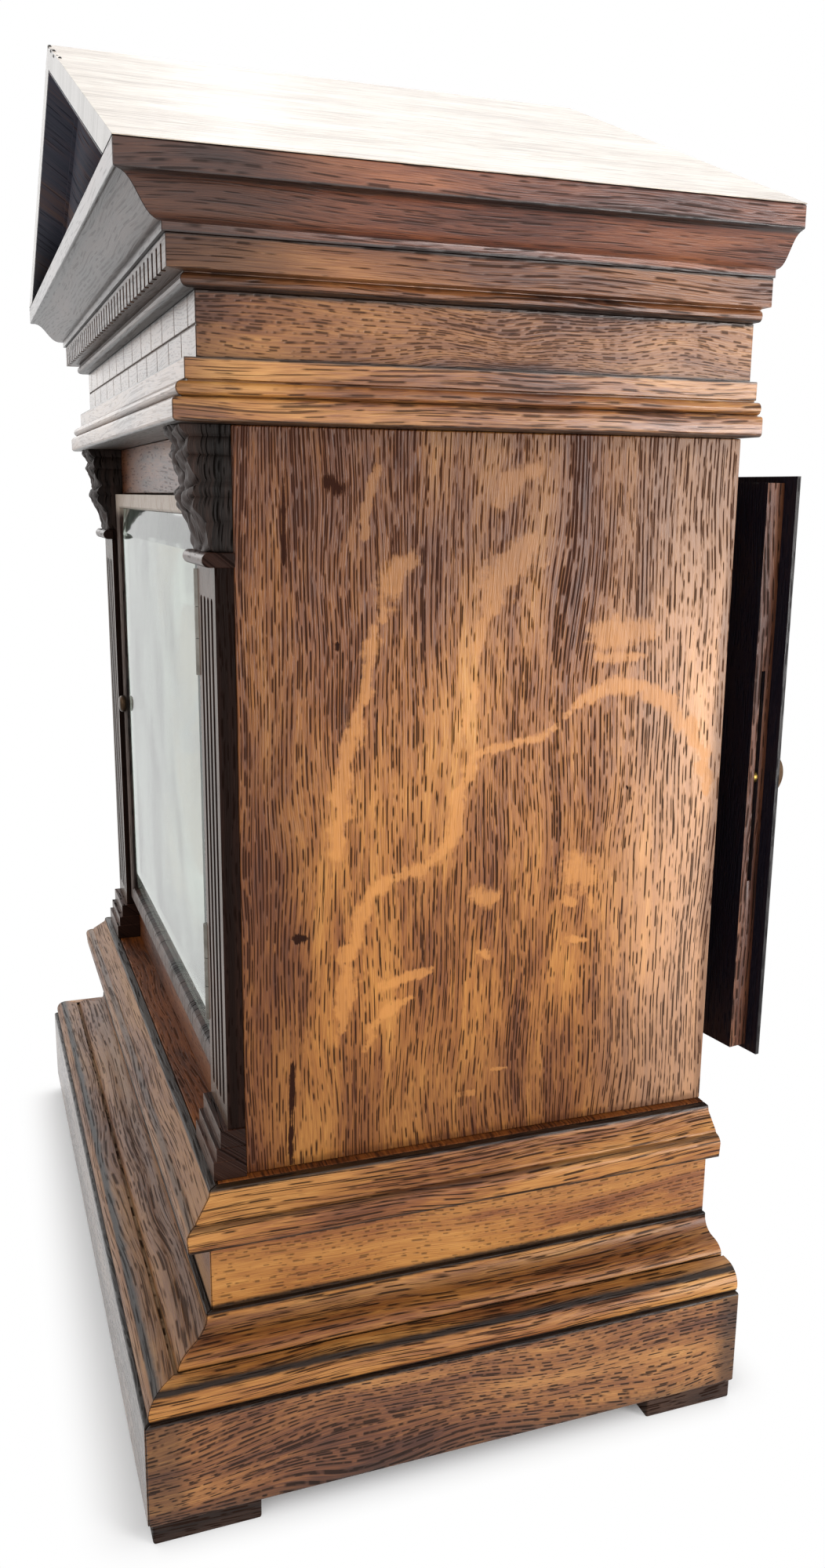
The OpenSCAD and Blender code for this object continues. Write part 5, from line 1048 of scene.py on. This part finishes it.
def seenDirectly(tree):
    # 1 for what the camera sees, also in mirrors and through glass, and 0 for the light that falls on things
    seen = addNode(tree, "ShaderNodeLightPath").outputs
    direct = addNode(tree, "ShaderNodeMath", {0: seen["Is Camera Ray"], 1: seen["Is Glossy Ray"]},
        operation="MAXIMUM")
    return addNode(tree, "ShaderNodeMath", {0: direct, 1: seen["Is Transmission Ray"]}, operation="MAXIMUM")


# smooth white paper; beyond the shadow at its feet it turns to plain white, from fadeFrom to fadeTo metres
# outside the box given by half
floorLook = {"reach": 6.0, "colour": "#F4F4F4", "half": (0.16, 0.108, 0.0), "fadeFrom": -0.002,
    "fadeTo": 0.022}
reach = floorLook["reach"]
floorMesh = bpy.data.meshes.new("floor")
floorMesh.from_pydata([(-reach, -reach, 0), (reach, -reach, 0), (reach, reach, 0), (-reach, reach, 0)], [],
    [(0, 1, 2, 3)])
floor = bpy.data.objects.new("floor", floorMesh)
bpy.context.scene.collection.objects.link(floor)
floorMaterial, floorTree = startMaterial("whitePaper")
paper = addNode(floorTree, "ShaderNodeBsdfPrincipled", {"Base Color": hexColor(floorLook["colour"]),
    "Roughness": 0.7})
away = addNode(floorTree, "ShaderNodeTexCoord").outputs["Object"]
away = addNode(floorTree, "ShaderNodeVectorMath", {0: away}, operation="ABSOLUTE")
away = addNode(floorTree, "ShaderNodeVectorMath", {0: away, 1: floorLook["half"]}, operation="SUBTRACT")
away = addNode(floorTree, "ShaderNodeVectorMath", {0: away, 1: (0, 0, 0)}, operation="MAXIMUM")
away = addNode(floorTree, "ShaderNodeVectorMath", {0: away}, operation="LENGTH").outputs["Value"]
fade = addNode(floorTree, "ShaderNodeMapRange", {0: away, 1: floorLook["fadeFrom"], 2: floorLook["fadeTo"]},
    interpolation_type="SMOOTHSTEP")
fade = addNode(floorTree, "ShaderNodeMath", {0: fade, 1: seenDirectly(floorTree)}, operation="MULTIPLY")
glow = addNode(floorTree, "ShaderNodeEmission", {0: (1, 1, 1, 1), 1: 1.0})
mixed = addNode(floorTree, "ShaderNodeMixShader", {0: fade, 1: paper, 2: glow})
addNode(floorTree, "ShaderNodeOutputMaterial", {0: mixed})
floorMesh.materials.append(floorMaterial)

# white surroundings, a little dimmer as light than as they are seen
worldLook = {"light": 0.78, "seen": 1.0}
world = bpy.data.worlds.new("studio")
bpy.context.scene.world = world
world.use_nodes = True
worldTree = world.node_tree
worldTree.nodes.clear()
strength = addNode(worldTree, "ShaderNodeMapRange", {0: seenDirectly(worldTree), 1: 0.0, 2: 1.0,
    3: worldLook["light"], 4: worldLook["seen"]})
background = addNode(worldTree, "ShaderNodeBackground", {0: (1, 1, 1, 1), 1: strength})
addNode(worldTree, "ShaderNodeOutputWorld", {0: background})

# place, aim, size in metres and power of the soft lamps
lamps = {
    "skyPanel": ((-0.9, 0.7, 1.7), (0, 0, 0.3), (1.6, 1.6), 11.0),
    "sideSheen": ((1.0, 0.74, 0.22), (0.13, 0.1, 0.2), (0.46, 0.46), 13.0),
    "leftWindow": ((-2.1, -1.3, 1.45), (0, -0.1, 0.3), (4.4, 2.2), 31.0),
    "frontFill": ((1.2, -1.3, 1.3), (0, 0, 0.25), (1.4, 1.4), 7.0),
}
for lampName, (where, aim, size, power) in lamps.items():
    light = bpy.data.lights.new(lampName, "AREA")
    light.shape = "RECTANGLE"
    light.size, light.size_y = size
    light.energy = power
    lamp = bpy.data.objects.new(lampName, light)
    lamp.location = where
    lamp.rotation_euler = (Vector(aim) - Vector(where)).to_track_quat("-Z", "Y").to_euler()
    bpy.context.scene.collection.objects.link(lamp)
print("lamps:", len(lamps))

# place in metres, turns in degrees and lens in mm, as solved from the photograph
cameraLook = {"at": (0.5178, -0.14583, 0.32408), "yaw": 19.81, "pitch": 12.67, "roll": 0.56, "lens": 29.37}
yaw, pitch, roll = (math.radians(cameraLook[k]) for k in ("yaw", "pitch", "roll"))
forward = Vector((-math.cos(yaw) * math.cos(pitch), math.sin(yaw) * math.cos(pitch), -math.sin(pitch)))
right = forward.cross(Vector((0, 0, 1))).normalized()
up = right.cross(forward)
tiltedRight = right * math.cos(roll) + up * math.sin(roll)
tiltedUp = up * math.cos(roll) - right * math.sin(roll)
camera = bpy.data.objects.new("camera", bpy.data.cameras.new("camera"))
camera.data.sensor_fit = "VERTICAL"
camera.data.sensor_height = 36.0
camera.data.lens = cameraLook["lens"]
camera.data.clip_start = 0.01
turned = Matrix((tiltedRight, tiltedUp, -forward)).transposed().to_4x4()
camera.matrix_world = Matrix.Translation(cameraLook["at"]) @ turned
bpy.context.scene.collection.objects.link(camera)
bpy.context.scene.camera = camera
bpy.context.scene.view_settings.view_transform = "Standard"

bpy.context.view_layer.update()
